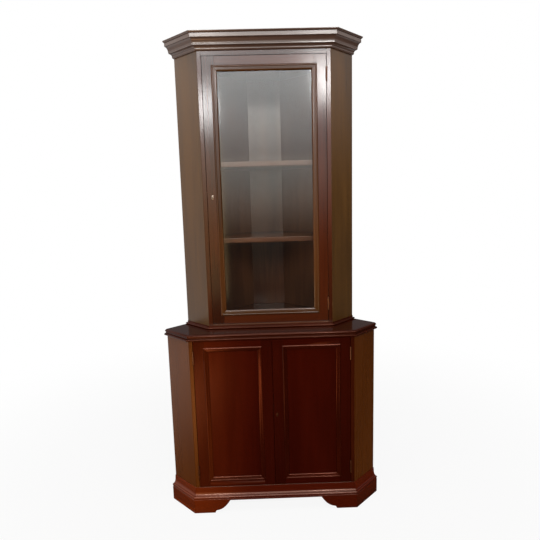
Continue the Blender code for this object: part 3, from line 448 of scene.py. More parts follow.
def offsets(path, closed=False):
    """At each point of a plan path, the vector that moves it one unit to the right of both its runs: the
    sum of the two unit normals, over one plus their dot product."""
    path = np.asarray(path, float)
    runs = np.diff(np.vstack([path, path[:1]]) if closed else path, axis=0)
    runs /= np.linalg.norm(runs, axis=1)[:, None]
    normals = np.column_stack([runs[:, 1], -runs[:, 0]])
    if closed:
        before = np.roll(normals, 1, axis=0)
        after = normals
    else:
        before = np.vstack([normals[:1], normals])
        after = np.vstack([normals, normals[-1:]])
    dots = (before * after).sum(1)[:, None]
    return (before + after) / (1.0 + dots)


def closed_mesh(name, points, faces):
    """A mesh of points and faces, with its faces turned outwards."""
    mesh = bpy.data.meshes.new(name)
    mesh.from_pydata(points.reshape(-1, 3).tolist(), [], faces)
    bm = bmesh.new()
    bm.from_mesh(mesh)
    bmesh.ops.recalc_face_normals(bm, faces=bm.faces)
    bm.to_mesh(mesh)
    bm.free()
    return mesh


def runs_mesh(name, starts, ends, start_ways, end_ways, rise, profile):
    """Straight runs of one moulding. A section is a point of the path, plus the profile's first number
    times the way out there, plus its second number times the rise. Each run is closed at both mitres."""
    lines = ends - starts
    lengths = np.linalg.norm(lines, axis=1)
    units = lines / lengths[:, None]
    out = profile[None, :, :1]
    high = profile[None, :, 1:] * rise
    first = starts[:, None] + out * start_ways[:, None] + high + HAIR * units[:, None]
    last = ends[:, None] + out * end_ways[:, None] + high - HAIR * units[:, None]
    points = np.stack([first, last], axis=1)
    along = ((points - starts[:, None, None]) * units[:, None, None]).sum(-1)
    across = np.broadcast_to(profile, points.shape[:-1] + (2,))
    draws = DRAW.uniform(-GRAIN_SPREAD, GRAIN_SPREAD, (len(starts), 1, 1, 3))
    places = np.concatenate([along[..., None], across], axis=-1) + draws
    index = np.arange(points.size // 3).reshape(points.shape[:-1])
    follow = np.roll(index, -1, axis=2)
    quads = np.stack([index[:, 0], follow[:, 0], follow[:, 1], index[:, 1]], axis=-1)
    faces = quads.reshape(-1, 4).tolist()
    faces += index[:, 0, ::-1].tolist() + index[:, 1].tolist()
    mesh = closed_mesh(name, points, faces)
    lay_grain(mesh, None, places.reshape(-1, 3))
    return mesh


def grid_mesh(name, sections):
    """A solid through closed sections, an array of sections by points by three, capped at both ends."""
    index = np.arange(sections.shape[0] * sections.shape[1]).reshape(sections.shape[:2])
    follow = np.roll(index, -1, axis=1)
    quads = np.stack([index[:-1], follow[:-1], follow[1:], index[1:]], axis=-1)
    faces = quads.reshape(-1, 4).tolist() + [index[0, ::-1].tolist(), index[-1].tolist()]
    return closed_mesh(name, sections, faces)


def tube_mesh(name, rings):
    """A closed ring-shaped solid through rings of points, the last of which joins the first."""
    index = np.arange(rings.shape[0] * rings.shape[1]).reshape(rings.shape[:2])
    follow = np.roll(index, -1, axis=1)
    onward = np.roll(index, -1, axis=0)
    quads = np.stack([index, follow, np.roll(onward, -1, axis=1), onward], axis=-1)
    return closed_mesh(name, rings, quads.reshape(-1, 4).tolist())


# Mouldings

def front_path(half, outer, front):
    """The line of a level moulding round the front: left wall, two front corners, right wall."""
    run = outer - half
    return np.array([(-outer, front + run), (-half, front), (half, front), (outer, front + run)])


def level_moulding(node, half, outer, front, profile, finish, runs, trims=(0.0, 0.0)):
    """A level moulding round the front of a carcass. runs are the numbers of the runs it has, and trims are
    what is taken off their left and right ends."""
    path = front_path(half, outer, front)
    ways = offsets(path)
    level = np.column_stack([path, np.zeros(4)])
    flat_ways = np.column_stack([ways, np.zeros(4)])
    picked = np.array(runs)
    mesh = runs_mesh(
        node,
        level[picked] + np.array([(trims[0], 0.0, 0.0)]),
        level[picked + 1] - np.array([(trims[1], 0.0, 0.0)]),
        flat_ways[picked],
        flat_ways[picked + 1],
        np.array(UP),
        profile,
    )
    return show(mesh, node + "_finished", finish, "carcass", [node], FINE_ARRIS, MOULDING_EDGE)


def cornice_profile():
    """Base bead, cove, fillet, cavetto, fascia and crown, as distances out and heights."""
    low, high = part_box("cornice")[0].z, TOP
    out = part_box("cornice")[1].x - UPPER_OUTER
    projection = out * math.sqrt(2.0)
    bead_seat, bead = 0.0035, 0.0055
    cove_run, cove_rise, cove_step = 0.0145, 0.0080, 0.0010
    fillet_height, fillet_step = 0.0040, 0.0015
    cavetto_step = 0.0025
    fascia_height, fascia_step = 0.0135, 0.0005
    crown_run, crown_height, crown_edge = 0.0085, 0.0065, 0.0008
    bead_top = low + bead
    cove_out = bead_seat + bead + cove_run
    cove_low = bead_top + cove_step
    cove_top = cove_low + cove_rise
    fillet_out = cove_out + fillet_step
    fillet_top = cove_top + fillet_height
    fascia_top = high - crown_height
    fascia_low = fascia_top - fascia_height
    cavetto_out = projection - crown_run
    cavetto = (cavetto_out - cove_out - cavetto_step, fascia_low - fillet_top)
    fascia_out = cavetto_out + fascia_step
    crown = (crown_run - fascia_step, crown_height - crown_edge)
    return np.vstack([
        [(FIT, low)],
        arc((bead_seat, bead_top), (bead, bead), -90, 0),
        arc((cove_out, cove_low), (cove_run, cove_rise), 180, 90),
        [(fillet_out, cove_top), (fillet_out, fillet_top)],
        arc((cavetto_out, fillet_top), cavetto, 180, 90),
        [(fascia_out, fascia_low), (fascia_out, fascia_top)],
        arc((fascia_out, high - crown_edge), crown, -90, 0),
        [(projection, high), (FIT, high)],
    ])


def waist_profile():
    """A nose at the foot, a ledge, and a small hollow that turns up against the upper carcass."""
    low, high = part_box("waist_moulding")[0].z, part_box("waist_moulding")[1].z
    projection = (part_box("waist_moulding")[1].x - UPPER_OUTER) * math.sqrt(2.0)
    nose, top_out, hollow, nose_sunk = 0.0032, 0.0026, 0.0016, 0.0002
    ledge = low + 2 * nose - nose_sunk
    return np.vstack([
        [(FIT, low)],
        arc((projection - nose, low + nose), (nose, nose), -90, 80),
        arc((top_out + hollow, ledge + hollow), (hollow, hollow), -90, -180),
        [(top_out, high), (FIT, high)],
    ])


def plinth_profile():
    """An upright face, a quirk, a roll and another quirk, then a hollow that draws in to the carcass."""
    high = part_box("plinth_front")[1].z
    projection = LOWER_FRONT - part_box("plinth_front")[0].y
    face_inset, face_top, quirk, quirk_height = 0.0008, 0.0578, 0.0034, 0.0020
    roll_high, roll_run, hollow_out, hollow_top = 0.0052, 0.0056, 0.0115, 0.0900
    fillet_out, top_out, step = 0.0035, 0.0025, 0.0012
    roll_middle = face_top + quirk_height + roll_high
    roll_top = roll_middle + roll_high
    hollow = (hollow_out - fillet_out, hollow_top - roll_top - step)
    return np.vstack([
        [(FIT, 0.0), (projection - face_inset, 0.0), (projection - face_inset, face_top)],
        [(projection - face_inset - quirk, face_top + quirk_height)],
        arc((projection - roll_run, roll_middle), (roll_run, roll_high), -65, 80),
        [(hollow_out, roll_top - step / 2)],
        arc((hollow_out, hollow_top), hollow, -90, -180),
        [(fillet_out, hollow_top), (top_out, high), (FIT, high)],
    ])


def top_edge_profile():
    """The base's top board at its edge, from its underside up: a slope, a nose, a groove and an ovolo."""
    low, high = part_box("lower_top_board")[0].z, BASE_TOP
    projection = LOWER_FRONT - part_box("lower_top_board")[0].y
    seat, slope_rise, nose, nose_middle = 0.0040, 0.0022, 0.0042, 0.0068
    groove_out, groove_top, groove_depth = 0.0072, 0.0188, 0.0008
    ovolo_run, ovolo_out, slope_inset, step = 0.0082, 0.0102, 0.0030, 0.0006
    nose_out = projection - nose
    nose_top = low + nose_middle + nose
    ovolo_low = low + groove_top
    ovolo = (ovolo_run, high - ovolo_low - step)
    ovolo_in = ovolo_out - ovolo_run
    groove_middle = (groove_out - groove_depth, (nose_top + ovolo_low) / 2)
    return np.vstack([
        [(seat, low), (nose_out - slope_inset, low + slope_rise)],
        arc((nose_out, low + nose_middle), (nose, nose), -85, 85),
        [(groove_out, nose_top + step), groove_middle, (groove_out, ovolo_low - step)],
        arc((ovolo_in, ovolo_low), ovolo, 0, 90),
        [(ovolo_in - step, high)],
    ])


def door_moulding_profile(width, proud, seat):
    """From the sight line out: a step to the seat, an ovolo, a quirk and a bead that laps the frame."""
    sight_step, ovolo_share, quirk_depth, land_depth, land_gap = 0.0025, 0.42, 0.0008, 0.0012, 0.0030
    bead_width, bead_shares, bead_seat_share, edge_share = 0.0042, (0.72, 0.55), 0.45, 0.30
    inner_edge = width - MOULDING_LAP - FIT
    ovolo = width * ovolo_share
    step_depth = seat - sight_step
    bead = (bead_width * bead_shares[0], proud * bead_shares[1])
    return np.vstack([
        [(0.0, seat - FIT)],
        arc((ovolo, step_depth), (ovolo, step_depth), 180, 270),
        [(ovolo, -quirk_depth), (width - bead_width - land_gap, -land_depth)],
        arc((width - bead_width, -proud * bead_seat_share), bead, 200, 340),
        [(width, -proud * edge_share), (width, -FIT), (inner_edge, -FIT), (inner_edge, seat - FIT)],
    ])


def door_moulding(node, panel_node, width, finish):
    """The mitred moulding round a door's panel or pane: four runs between the corners of its sight line."""
    low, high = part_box(node)
    front = LOWER_FRONT if node.startswith("lower") else UPPER_FRONT
    proud = front - low.y
    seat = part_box(panel_node)[0].y - front
    profile = door_moulding_profile(width, proud, seat)
    sight_low = (low.x + width, low.z + width)
    sight_high = (high.x - width, high.z - width)
    path = np.array([sight_low, (sight_high[0], sight_low[1]), sight_high, (sight_low[0], sight_high[1])])
    ways = offsets(path, closed=True)
    corners = np.column_stack([path[:, 0], np.full(4, front), path[:, 1]])
    wide_ways = np.column_stack([ways[:, 0], np.zeros(4), ways[:, 1]])
    rise = np.array((0.0, 1.0, 0.0))
    ends = np.roll(corners, -1, axis=0)
    mesh = runs_mesh(node, corners, ends, wide_ways, np.roll(wide_ways, -1, axis=0), rise, profile)
    name = node + "_finished"
    show(mesh, name, finish, body_of(node), [node], DOOR_MOULDING_ARRIS, MOULDING_EDGE)


def cut_out(piece, mesh):
    """Takes a solid out of a piece's mesh, before its arrises are softened."""
    cutter = bpy.data.objects.new("cutter", mesh)
    bpy.context.scene.collection.objects.link(cutter)
    later = list(piece.modifiers)
    for modifier in later:
        modifier.show_viewport = False
    cut = piece.modifiers.new("cut", "BOOLEAN")
    cut.object = cutter
    cut.operation = "DIFFERENCE"
    cut.solver = "EXACT"
    graph = bpy.context.evaluated_depsgraph_get()
    sawn = bpy.data.meshes.new_from_object(piece.evaluated_get(graph))
    piece.modifiers.remove(cut)
    for modifier in later:
        modifier.show_viewport = True
    piece.data = sawn
    bpy.data.objects.remove(cutter)


def prism(name, outline, low, high, axis):
    """A straight solid on a closed outline: the outline's two numbers are its places along the other two
    axes, and the solid runs along the axis from low to high."""
    sections = np.empty((2, len(outline), 3))
    sections[:, :, [other for other in range(3) if other != axis]] = outline
    sections[:, :, axis] = np.array((low, high))[:, None]
    return grid_mesh(name, sections)


def rod_hole():
    """The round hole in the underside of the base's top board that the barrel bolt's rod slides up into."""
    low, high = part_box("barrel_bolt_rod")
    centre = (low + high) / 2
    circle = arc((centre.x, centre.y), (ROD_HOLE_RADIUS, ROD_HOLE_RADIUS), 0, 360, 32)[:-1]
    return prism("rod_hole", circle, high.z, high.z + ROD_THROW + 2 * FIT, 2)


def base_top():
    """The base's top board: a closed plan outline for each point of its moulded edge."""
    path = front_path(LOWER_HALF_TRUE, LOWER_OUTER, LOWER_FRONT)
    ways = offsets(path)
    profile = top_edge_profile()
    edge = path[None] + profile[:, None, :1] * ways[None]
    corner_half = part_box("lower_top_board")[1].y
    flat = LOWER_OUTER + path[3, 1] - corner_half
    back = np.array([(flat, corner_half), (-flat, corner_half)])
    plan = np.concatenate([edge, np.broadcast_to(back, (len(profile), 2, 2))], axis=1)
    heights = np.broadcast_to(profile[:, None, 1:], plan.shape[:2] + (1,))
    mesh = grid_mesh("lower_top_board", np.concatenate([plan, heights], axis=-1))
    lay_grain(mesh, SIDEWAYS)
    name = "lower_top_board_finished"
    top = show(mesh, name, "base_mahogany", "carcass", ["lower_top_board"], FINE_ARRIS, MOULDING_EDGE)
    cut_out(top, rod_hole())


def bracket_cutter():
    """The opening between the bracket feet: on each side a rounded toe, then a cubic curve up to the apron's
    level edge."""
    toe, length, inset, clearance = 0.011, 0.051, 0.087, 0.053
    foot_pull, foot_lift, apron_pull, apron_drop = 0.45, 0.10, 0.28, 0.52
    front_depth, back_depth = 0.04, 0.02
    foot = LOWER_HALF_TRUE - inset
    rise = clearance - toe
    start = np.array((foot, toe))
    end = np.array((foot - length, clearance))
    first = start + np.array((-foot_pull * length, foot_lift * rise))
    second = end + np.array((apron_pull * length, -apron_drop * rise))
    t = np.linspace(0.0, 1.0, 25)[1:, None]
    s = 1.0 - t
    sweep = s**3 * start + 3 * s * s * t * first + 3 * s * t * t * second + t**3 * end
    round_toe = arc((foot, 0.0), (toe, toe), 25, 90)
    right = np.vstack([[(foot + toe, -toe), (foot + toe, 0.0)], round_toe, sweep])
    outline = np.vstack([right, right[::-1] * (-1.0, 1.0)])
    return prism("bracket_cutter", outline, LOWER_FRONT - front_depth, LOWER_FRONT + back_depth, 1)


def plinth():
    """The plinth's three boards, with the bracket feet sawn out of the front one."""
    profile = plinth_profile()
    place = (LOWER_HALF_TRUE, LOWER_OUTER, LOWER_FRONT)
    trims = (MITRE_GAP, MITRE_GAP)
    front = level_moulding("plinth_front", *place, profile, "plinth_mahogany", [1], trims)
    level_moulding("plinth_left", *place, profile, "plinth_mahogany", [0])
    level_moulding("plinth_right", *place, profile, "plinth_mahogany", [2])
    cut_out(front, bracket_cutter())


# The cabinet

def carcass():
    """Every board of both carcasses, with its mouldings."""
    for prefix, post, side_finish in (
        ("upper", "mahogany", "side_mahogany"), ("lower", "base_mahogany", "base_side_mahogany")
    ):
        close_fit = prefix == "lower"
        for side in ("left", "right"):
            # The lower left post takes the lighter side finish: painted light, standing in for warm light
            # from the left.
            post_or_painted_light_finish = side_finish if prefix + side == "lowerleft" else post
            dress(f"{prefix}_side_{side}", UP, side_finish, ARRIS, close_fit)
            dress(f"{prefix}_stile_{side}", UP, post_or_painted_light_finish, ARRIS, close_fit)
        for part in ("left", "right"):
            dress(f"{prefix}_back_{part}", UP, "back_board", ARRIS, close_fit)
        dress(f"{prefix}_back_corner", UP, "inside_mahogany", ARRIS, close_fit)
    dress("upper_top_rail", SIDEWAYS, "mahogany", JOINT_ARRIS, True)
    inside = ("upper_top_board", "upper_bottom_board", "upper_shelf_high", "upper_shelf_low")
    for node in inside + ("lower_bottom_board", "lower_shelf"):
        dress(node, SIDEWAYS, "inside_mahogany", SHELF_ROUNDING if "shelf" in node else ARRIS)
    dress("rear_foot", UP, "back_board")
    upper = (UPPER_HALF_TRUE, UPPER_OUTER, UPPER_FRONT)
    level_moulding("cornice", *upper, cornice_profile(), "cornice_mahogany", [0, 1, 2])
    level_moulding("waist_moulding", *upper, waist_profile(), "base_mahogany", [0, 1, 2])
    base_top()
    plinth()


def door_frame(node):
    """A lower door's frame as its four glued members: stiles of full height with the rails between them,
    each cut out of the node and with its own grain. The rails are polished a little lighter."""
    low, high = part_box(node)
    inner_low, inner_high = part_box(node.replace("frame", "moulding"))
    left = inner_low.x + MOULDING_LAP
    right = inner_high.x - MOULDING_LAP
    middle = (low.z + high.z) / 2
    west, east = Vector((-1, 0, 0)), Vector((1, 0, 0))
    down, up = Vector((0, 0, -1)), Vector((0, 0, 1))
    members = {
        "stile_left": ([((left - HAIR, 0, 0), east)], UP),
        "stile_right": ([((right + HAIR, 0, 0), west)], UP),
        "rail_top": ([((left, 0, 0), west), ((right, 0, 0), east), ((0, 0, middle), down)], SIDEWAYS),
        "rail_bottom": ([((left, 0, 0), west), ((right, 0, 0), east), ((0, 0, middle), up)], SIDEWAYS),
    }
    for member, (cuts, along) in members.items():
        mesh = node_mesh(node, cuts)
        lay_grain(mesh, along)
        name = node.replace("frame", member)
        polish = "door_mahogany" if "rail" in member else "door_frame_mahogany"
        show(mesh, name, polish, body_of(node), [node], JOINT_ARRIS)


def doors():
    """The glazed door and the two panelled doors."""
    for part in ("stile_left", "stile_right"):
        dress(f"upper_door_{part}", UP, "mahogany", JOINT_ARRIS)
    for part in ("rail_top", "rail_bottom"):
        dress(f"upper_door_{part}", SIDEWAYS, "mahogany", JOINT_ARRIS, True)
    door_moulding(
        "upper_door_moulding", "upper_door_glass", GLAZING_MOULDING_WIDTH, "glazing_mahogany"
    )
    glass = frame["nodes"]["upper_door_glass"].data
    glass.materials.clear()
    glass.materials.append(FINISHES["clear_glass"])
    for side in ("left", "right"):
        name = f"lower_{side}_door"
        door_frame(f"{name}_frame")
        dress(f"{name}_panel", UP, "door_mahogany")
        door_moulding(
            f"{name}_moulding", f"{name}_panel", PANEL_MOULDING_WIDTH, "door_moulding_mahogany"
        )


# Brass and steel

def half_head(radius, slot, dome, rim, side):
    """Half of a slotted screw's head, from the slot's wall to the rim: across runs from half the slot to
    the circle, along runs the chord, and the height falls with the square of the distance outwards."""
    steps_across, steps_along = 5, 13
    share = np.linspace(0.0, 1.0, steps_across)[:, None]
    chord = math.sqrt(radius**2 - slot**2)
    along = np.sin(np.linspace(-math.pi / 2, math.pi / 2, steps_along))[None] * chord
    across = slot + share * (np.sqrt(np.maximum(radius**2 - along**2, slot**2)) - slot)
    along = np.broadcast_to(along, across.shape)
    height = rim + dome * (1.0 - (across**2 + along**2) / radius**2)
    return np.stack([across * side, along * side, height], axis=-1)


def closed_sheet(top, bottom):
    """Vertices and faces of a solid between a grid of points and its copy at the bottom's height."""
    rows, columns = top.shape[:2]
    under = top.copy()
    under[..., 2] = bottom
    points = np.concatenate([top.reshape(-1, 3), under.reshape(-1, 3)])
    index = np.arange(rows * columns).reshape(rows, columns)
    cells = np.stack([index[:-1, :-1], index[1:, :-1], index[1:, 1:], index[:-1, 1:]], axis=-1)
    cells = cells.reshape(-1, 4)
    ring = np.concatenate([index[0, :-1], index[:-1, -1], index[-1, :0:-1], index[:0:-1, 0]])
    follow = np.roll(ring, -1)
    count = rows * columns
    walls = np.column_stack([ring, follow, follow + count, ring + count])
    return points, np.concatenate([cells, cells[:, ::-1] + count, walls])


def screws(name, places, outward, finish, body, radius=0.0026):
    """Slotted screw heads at places, standing on a surface that looks outward, each turned by its own draw.
    A flat disc closes the bottom of the slot."""
    bm = bmesh.new()
    slot, dome, rim, sunk, slot_floor = radius * 0.13, 0.00022, 0.00005, -0.0006, -0.0002
    disc_share, most_turn = 0.99, 0.9
    turn_out = Vector(outward).to_track_quat("Z", "X").to_matrix().to_4x4()
    for place in places:
        spin = Matrix.Rotation(DRAW.uniform(-most_turn, most_turn), 4, "Z")
        to_face = Matrix.Translation(place) @ turn_out @ spin
        for side in (-1, 1):
            points, faces = closed_sheet(half_head(radius, slot, dome, rim, side), sunk)
            verts = [bm.verts.new(to_face @ Vector(p)) for p in points]
            for face in faces:
                bm.faces.new([verts[i] for i in face])
        disc = bmesh.ops.create_circle(bm, cap_ends=True, radius=radius * disc_share, segments=24)
        to_slot = to_face @ Matrix.Translation((0, 0, slot_floor))
        bmesh.ops.transform(bm, matrix=to_slot, verts=disc["verts"])
    bmesh.ops.remove_doubles(bm, verts=bm.verts, dist=MERGE / 2)
    bmesh.ops.recalc_face_normals(bm, faces=bm.faces)
    mesh = bpy.data.meshes.new(name)
    bm.to_mesh(mesh)
    bm.free()
    lay_grain(mesh, UP)
    show(mesh, name, finish, body, (), 0.0)
    mesh.set_sharp_from_angle(angle=math.radians(SCREW_EDGE))


def hinges():
    """Every leaf with its knuckles, and three screws in each leaf's flat. The glazed door's top hinge takes a
    darker brass than the others, as painted shade."""
    screw_inset, screw_step = 0.0055, 0.018
    for node in sorted(frame["nodes"]):
        if not node.endswith("leaf"):
            continue
        # The glazed door's top hinge is in darker brass: painted shade.
        dress(node, UP, "dark_brass" if node.startswith("upper_hinge_high") else "aged_brass", LEAF_ARRIS)
        low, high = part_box(node)
        opening = (low.x + high.x) / 2
        middle = (low.z + high.z) / 2
        side = 1 if low.x > 0 else -1
        outward = side if node.endswith("door_leaf") else -side
        x = opening - outward * DOOR_GAP / 2
        places = [(x, high.y - screw_inset, middle + step) for step in (-screw_step, 0.0, screw_step)]
        screws(node + "_screws", places, (outward, 0, 0), "aged_brass", body_of(node))


def keyhole(count, radius, slot):
    """A keyhole's outline by angle: the round eye, and below it a parallel slot that ends flat. Its reach
    is the eye's radius, or the nearer of the slot's wall and end where that lies further out."""
    slot_share, least = 0.55, 1e-6
    angles = np.linspace(0.0, 2 * math.pi, count, endpoint=False) + math.pi / 2
    across, up = np.cos(angles), np.sin(angles)
    to_wall = radius * slot_share / np.maximum(np.abs(across), least)
    to_end = slot / np.maximum(-up, least)
    in_slot = np.minimum(to_wall, to_end)
    reach = np.where(up < 0, np.maximum(radius, in_slot), radius)
    return np.column_stack([reach * across, reach * up])


def escutcheon(node, finish):
    """An oval plate that rises in a low dome from its rim to its keyhole: rings run evenly from the
    keyhole's outline to the oval, and the height falls with the cube of the ring's share."""
    low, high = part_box(node)
    centre = (low + high) / 2
    half = (high - low) / 2
    count, rings, eye_radius, slot_length, fall = 96, 9, 0.0019, 0.0045, 0.6
    hole = keyhole(count, eye_radius, slot_length)
    angles = np.arctan2(hole[:, 1], hole[:, 0])
    oval = np.column_stack([np.cos(angles) * half.x, np.sin(angles) * half.z])
    share = np.linspace(0.0, 1.0, rings)[:, None, None]
    plan = hole[None] * (1 - share) + oval[None] * share
    rise = (high.y - low.y) * (1.0 - fall * np.broadcast_to(share[..., 0], plan.shape[:2]) ** 3)
    front = np.stack([centre.x + plan[..., 0], high.y - rise, centre.z + plan[..., 1]], axis=-1)
    back = front[::-1].copy()
    back[..., 1] = high.y
    mesh = tube_mesh(node, np.concatenate([front, back]))
    lay_grain(mesh, UP)
    show(mesh, node + "_finished", finish, body_of(node), [node], 0.0)
    mesh.set_sharp_from_angle(angle=math.radians(PLATE_EDGE))


def locks():
    """Both locks with their bolts and screws, both escutcheons, and the barrel bolt."""
    screw_inset, screw_radius = 0.0055, 0.0022
    for prefix in ("upper", "lower"):
        # The upper escutcheon's pale brass is partly a painted highlight.
        escutcheon(f"{prefix}_escutcheon", "pale_brass_with_painted_glint" if prefix == "upper" else "dark_brass")
        case = f"{prefix}_lock_case"
        dress(case, UP, "lock_steel", LOCK_ARRIS)
        dress(f"{prefix}_lock_bolt", UP, "aged_brass", LOCK_ARRIS)
        low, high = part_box(case)
        places = [
            (x, high.y, z)
            for x in (low.x + screw_inset, high.x - screw_inset)
            for z in (low.z + screw_inset, high.z - screw_inset)
        ]
        screws(case + "_screws", places, (0, 1, 0), "lock_steel", body_of(case), screw_radius)
    dress("barrel_bolt_case", UP, "aged_brass", LOCK_ARRIS)
    dress("barrel_bolt_rod", UP, "aged_brass", LOCK_ARRIS)


# The studio

def ray_kinds(finish):
    """Whether a ray comes from the camera, from gloss or through glass, each as 0 or 1."""
    kinds = ("Is Camera Ray", "Is Glossy Ray", "Is Transmission Ray")
    return [finish.node("ShaderNodeLightPath", {}, {}, kind) for kind in kinds]


def world():
    """A backdrop that is white to the camera and through glass, and a plain grey as light. Gloss sees it
    white on the left and dim straight behind the cabinet, in front of it and on the right."""
    backdrop, straight_behind, dimming, least = (-0.20, 1.1), (0.5, 0.95), 0.85, 0.04
    owner = bpy.data.worlds.new("studio")
    bpy.context.scene.world = owner
    finish = Finish("studio", owner)
    direct, glossy, through = ray_kinds(finish)
    way = finish.node("ShaderNodeTexCoord", {}, {}, 0)
    ahead = finish.node("ShaderNodeSeparateXYZ", {}, {0: way}, 1)
    behind = finish.span(finish.towards(way), *backdrop)
    behind = behind * (1.0 - finish.span(ahead, *straight_behind) * dimming)
    plain = (1.0 - glossy) * PLAIN_LIGHT
    seen = direct + through + glossy * (behind * (1.0 - least) + least) + plain
    strength = finish.node("ShaderNodeClamp", {}, {"Value": seen})
    light = finish.node("ShaderNodeBackground", {}, {"Color": WHITE, "Strength": strength})
    finish.end(light)


def floor():
    """A round pale floor that keeps the cabinet's shadow near it and turns into the white beyond. The
    polish in front mirrors it as a dim warm brown."""
    sides, drop, whitened, backdrop = 96, 0.0005, 0.90, (-0.2, 1.5)
    near, far_start, far_end = (0.1, 1.2), 0.5, FLOOR_RADIUS - 0.2
    pale, warm_brown = (0.60, 0.60, 0.60, 1.0), (0.12, 0.050, 0.025, 1.0)
    rim = arc((0.0, 0.0), (FLOOR_RADIUS, FLOOR_RADIUS), 0, 360, sides)[:-1]
    mesh = bpy.data.meshes.new("floor")
    mesh.from_pydata(np.column_stack([rim, np.full(sides, -drop)]).tolist(), [], [range(sides)])
    made = bpy.data.objects.new("floor", mesh)
    bpy.context.scene.collection.objects.link(made)
    finish = Finish("pale_floor")
    direct, glossy, through = ray_kinds(finish)
    place = finish.node("ShaderNodeTexCoord", {}, {}, 3)
    distance = finish.node("ShaderNodeVectorMath", {"operation": "LENGTH"}, {0: place}, 1)
    far = finish.span(distance, far_start, far_end)
    behind = finish.span(finish.towards(place), *backdrop) * finish.span(distance, *near)
    share = (direct + through) * (far * (1.0 - whitened) + whitened) + glossy * behind
    share = finish.node("ShaderNodeClamp", {}, {"Value": share})
    shade = finish.mix(glossy, pale, warm_brown)
    lit = finish.node("ShaderNodeBsdfDiffuse", {}, {"Color": shade})
    white = finish.node("ShaderNodeEmission", {}, {"Color": WHITE, "Strength": 1.0})
    finish.end(finish.node("ShaderNodeMixShader", {}, {0: share, 1: lit, 2: white}))
    mesh.materials.append(finish.owner)


def lamp(name, place, aim, size, brightness, colour, fade):
    """A soft rectangular lamp at a place, turned towards the aim. Its brightness fades towards its side
    edges over the first share of its half width, and over the second and third shares of its height
    towards its lower and its upper edge."""
    width, height = size
    side_fade, low_fade, high_fade = fade
    light = bpy.data.lights.new(name, "AREA")
    light.shape = "RECTANGLE"
    light.size = width
    light.size_y = height
    light.energy = brightness * math.pi * width * height
    light.color = colour
    light.use_nodes = True
    finish = Finish(name, light)
    across = finish.node("ShaderNodeNewGeometry", {}, {}, "Parametric")
    x = finish.node("ShaderNodeSeparateXYZ", {}, {0: across}, 0)
    y = finish.node("ShaderNodeSeparateXYZ", {}, {0: across}, 1)
    sides = finish.span(x, 0.0, side_fade / 2) * (1.0 - finish.span(x, 1.0 - side_fade / 2, 1.0))
    upright = finish.span(y, 0.0, low_fade) * (1.0 - finish.span(y, 1.0 - high_fade, 1.0))
    glow = finish.node("ShaderNodeEmission", {}, {"Color": WHITE, "Strength": sides * upright})
    finish.end(glow)
    made = bpy.data.objects.new(name, light)
    made.location = place
    made.rotation_euler = (Vector(aim) - Vector(place)).to_track_quat("-Z", "Y").to_euler()
    made.visible_camera = False
    bpy.context.scene.collection.objects.link(made)


def camera():
    """The camera at the photograph's place, turned by its yaw, dip and roll."""
    lens = bpy.data.cameras.new("camera")
    lens.lens = LENS
    lens.sensor_width = SENSOR
    made = bpy.data.objects.new("camera", lens)
    turn = Matrix.Rotation(math.radians(-CAMERA_YAW), 4, "Z")
    turn @= Matrix.Rotation(math.radians(90.0 - CAMERA_DIP), 4, "X")
    turn @= Matrix.Rotation(math.radians(CAMERA_ROLL), 4, "Z")
    made.matrix_world = Matrix.Translation(CAMERA_PLACE) @ turn
    bpy.context.scene.collection.objects.link(made)
    bpy.context.scene.camera = made


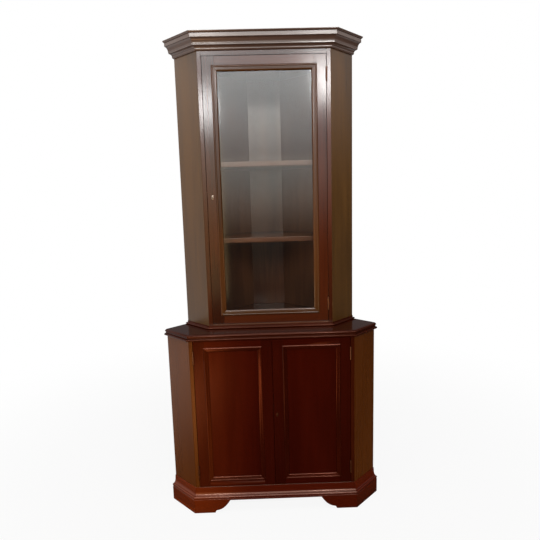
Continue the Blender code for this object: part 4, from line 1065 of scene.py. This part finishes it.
# Each lamp's place, aim, size, brightness, colour and fading shares
LAMPS = {
    "front_softbox": (
        (0.0, -3.2, 2.1), (0.0, 0.0, 2.1), (2.8, 2.4), 5.0, (1.0, 1.0, 1.0), (0.3, 1.0, 0.08)
    ),
    "front_low_softbox": (
        (0.12, -3.1, 1.2), (0.12, 0.0, 1.2), (1.8, 1.0), 0.65, (1.0, 0.88, 0.74), (0.5, 0.7, 0.08)
    ),
    "left_low_softbox": (
        (-0.70, -3.12, 1.05), (-0.70, 0.0, 1.05), (0.7, 1.8), 1.15, (1.0, 0.72, 0.34), (0.3, 0.1, 0.1)
    ),
    "ceiling_softbox": (
        (0.0, -0.95, 3.2), (0.0, -0.6, 1.0), (2.4, 1.4), 4.0, (1.0, 1.0, 1.0), (0.3, 0.3, 0.08)
    ),
    "left_softbox": (
        (-2.8, 0.35, 2.1), (0.0, 0.1, 1.9), (1.4, 1.4), 0.9, (1.0, 0.97, 0.94), (0.3, 0.9, 0.08)
    ),
    "left_front_softbox": (
        (-2.3, -2.1, 1.2), (0.0, 0.0, 1.0), (1.4, 1.8), 2.9, (1.0, 0.90, 0.80), (0.9, 0.6, 0.4)
    ),
    "left_low_lamp": (
        (-1.15, -1.35, 0.45), (-0.2, 0.0, 0.35), (0.4, 0.5), 13.0, (1.0, 0.72, 0.42), (0.9, 0.5, 0.5)
    ),
    "left_floor_lamp": (
        (-0.52, -1.15, 0.03), (-0.52, -1.14, 1.0), (0.5, 1.5), 3.4, (1.0, 0.55, 0.25), (0.9, 0.5, 0.08)
    ),
    "right_softbox": (
        (2.8, 0.1, 2.1), (0.0, 0.1, 1.6), (1.2, 1.6), 1.25, (1.0, 0.93, 0.90), (0.3, 0.9, 0.08)
    ),
    "right_low_lamp": (
        (1.5, -2.4, 0.7), (0.0, 0.0, 0.7), (0.4, 1.2), 6.8, (1.0, 0.52, 0.24), (0.9, 0.4, 0.4)
    ),
    "left_ceiling_lamp": (
        (-0.54, -3.09, 2.14), (-0.54, 0.0, 2.14), (0.26, 0.54), 44.0, (1.0, 1.0, 1.0), (0.4, 0.5, 0.5)
    ),
    "right_ceiling_lamp": (
        (0.64, -3.08, 2.335), (0.64, 0.0, 2.335), (0.28, 0.50), 54.0, (1.0, 1.0, 1.0), (0.4, 0.6, 0.2)
    ),
    "left_cornice_lamp": (
        (-0.58, -3.07, 2.80), (-0.58, 0.0, 2.80), (0.56, 0.36), 17.0, (1.0, 1.0, 1.0), (0.9, 0.4, 0.08)
    ),
    "middle_cornice_lamp": (
        (0.0, -3.06, 2.82), (0.0, 0.0, 2.82), (1.4, 0.32), 1.4, (1.0, 1.0, 1.0), (0.3, 0.4, 0.08)
    ),
    "right_cornice_lamp": (
        (0.64, -3.05, 2.86), (0.64, 0.0, 2.86), (0.36, 0.32), 19.0, (1.0, 1.0, 1.0), (0.6, 0.4, 0.08)
    ),
}

carcass()
doors()
hinges()
locks()
world()
floor()
for lamp_name, values in LAMPS.items():
    lamp(lamp_name, *values)
camera()
bpy.context.scene.view_settings.view_transform = "Standard"
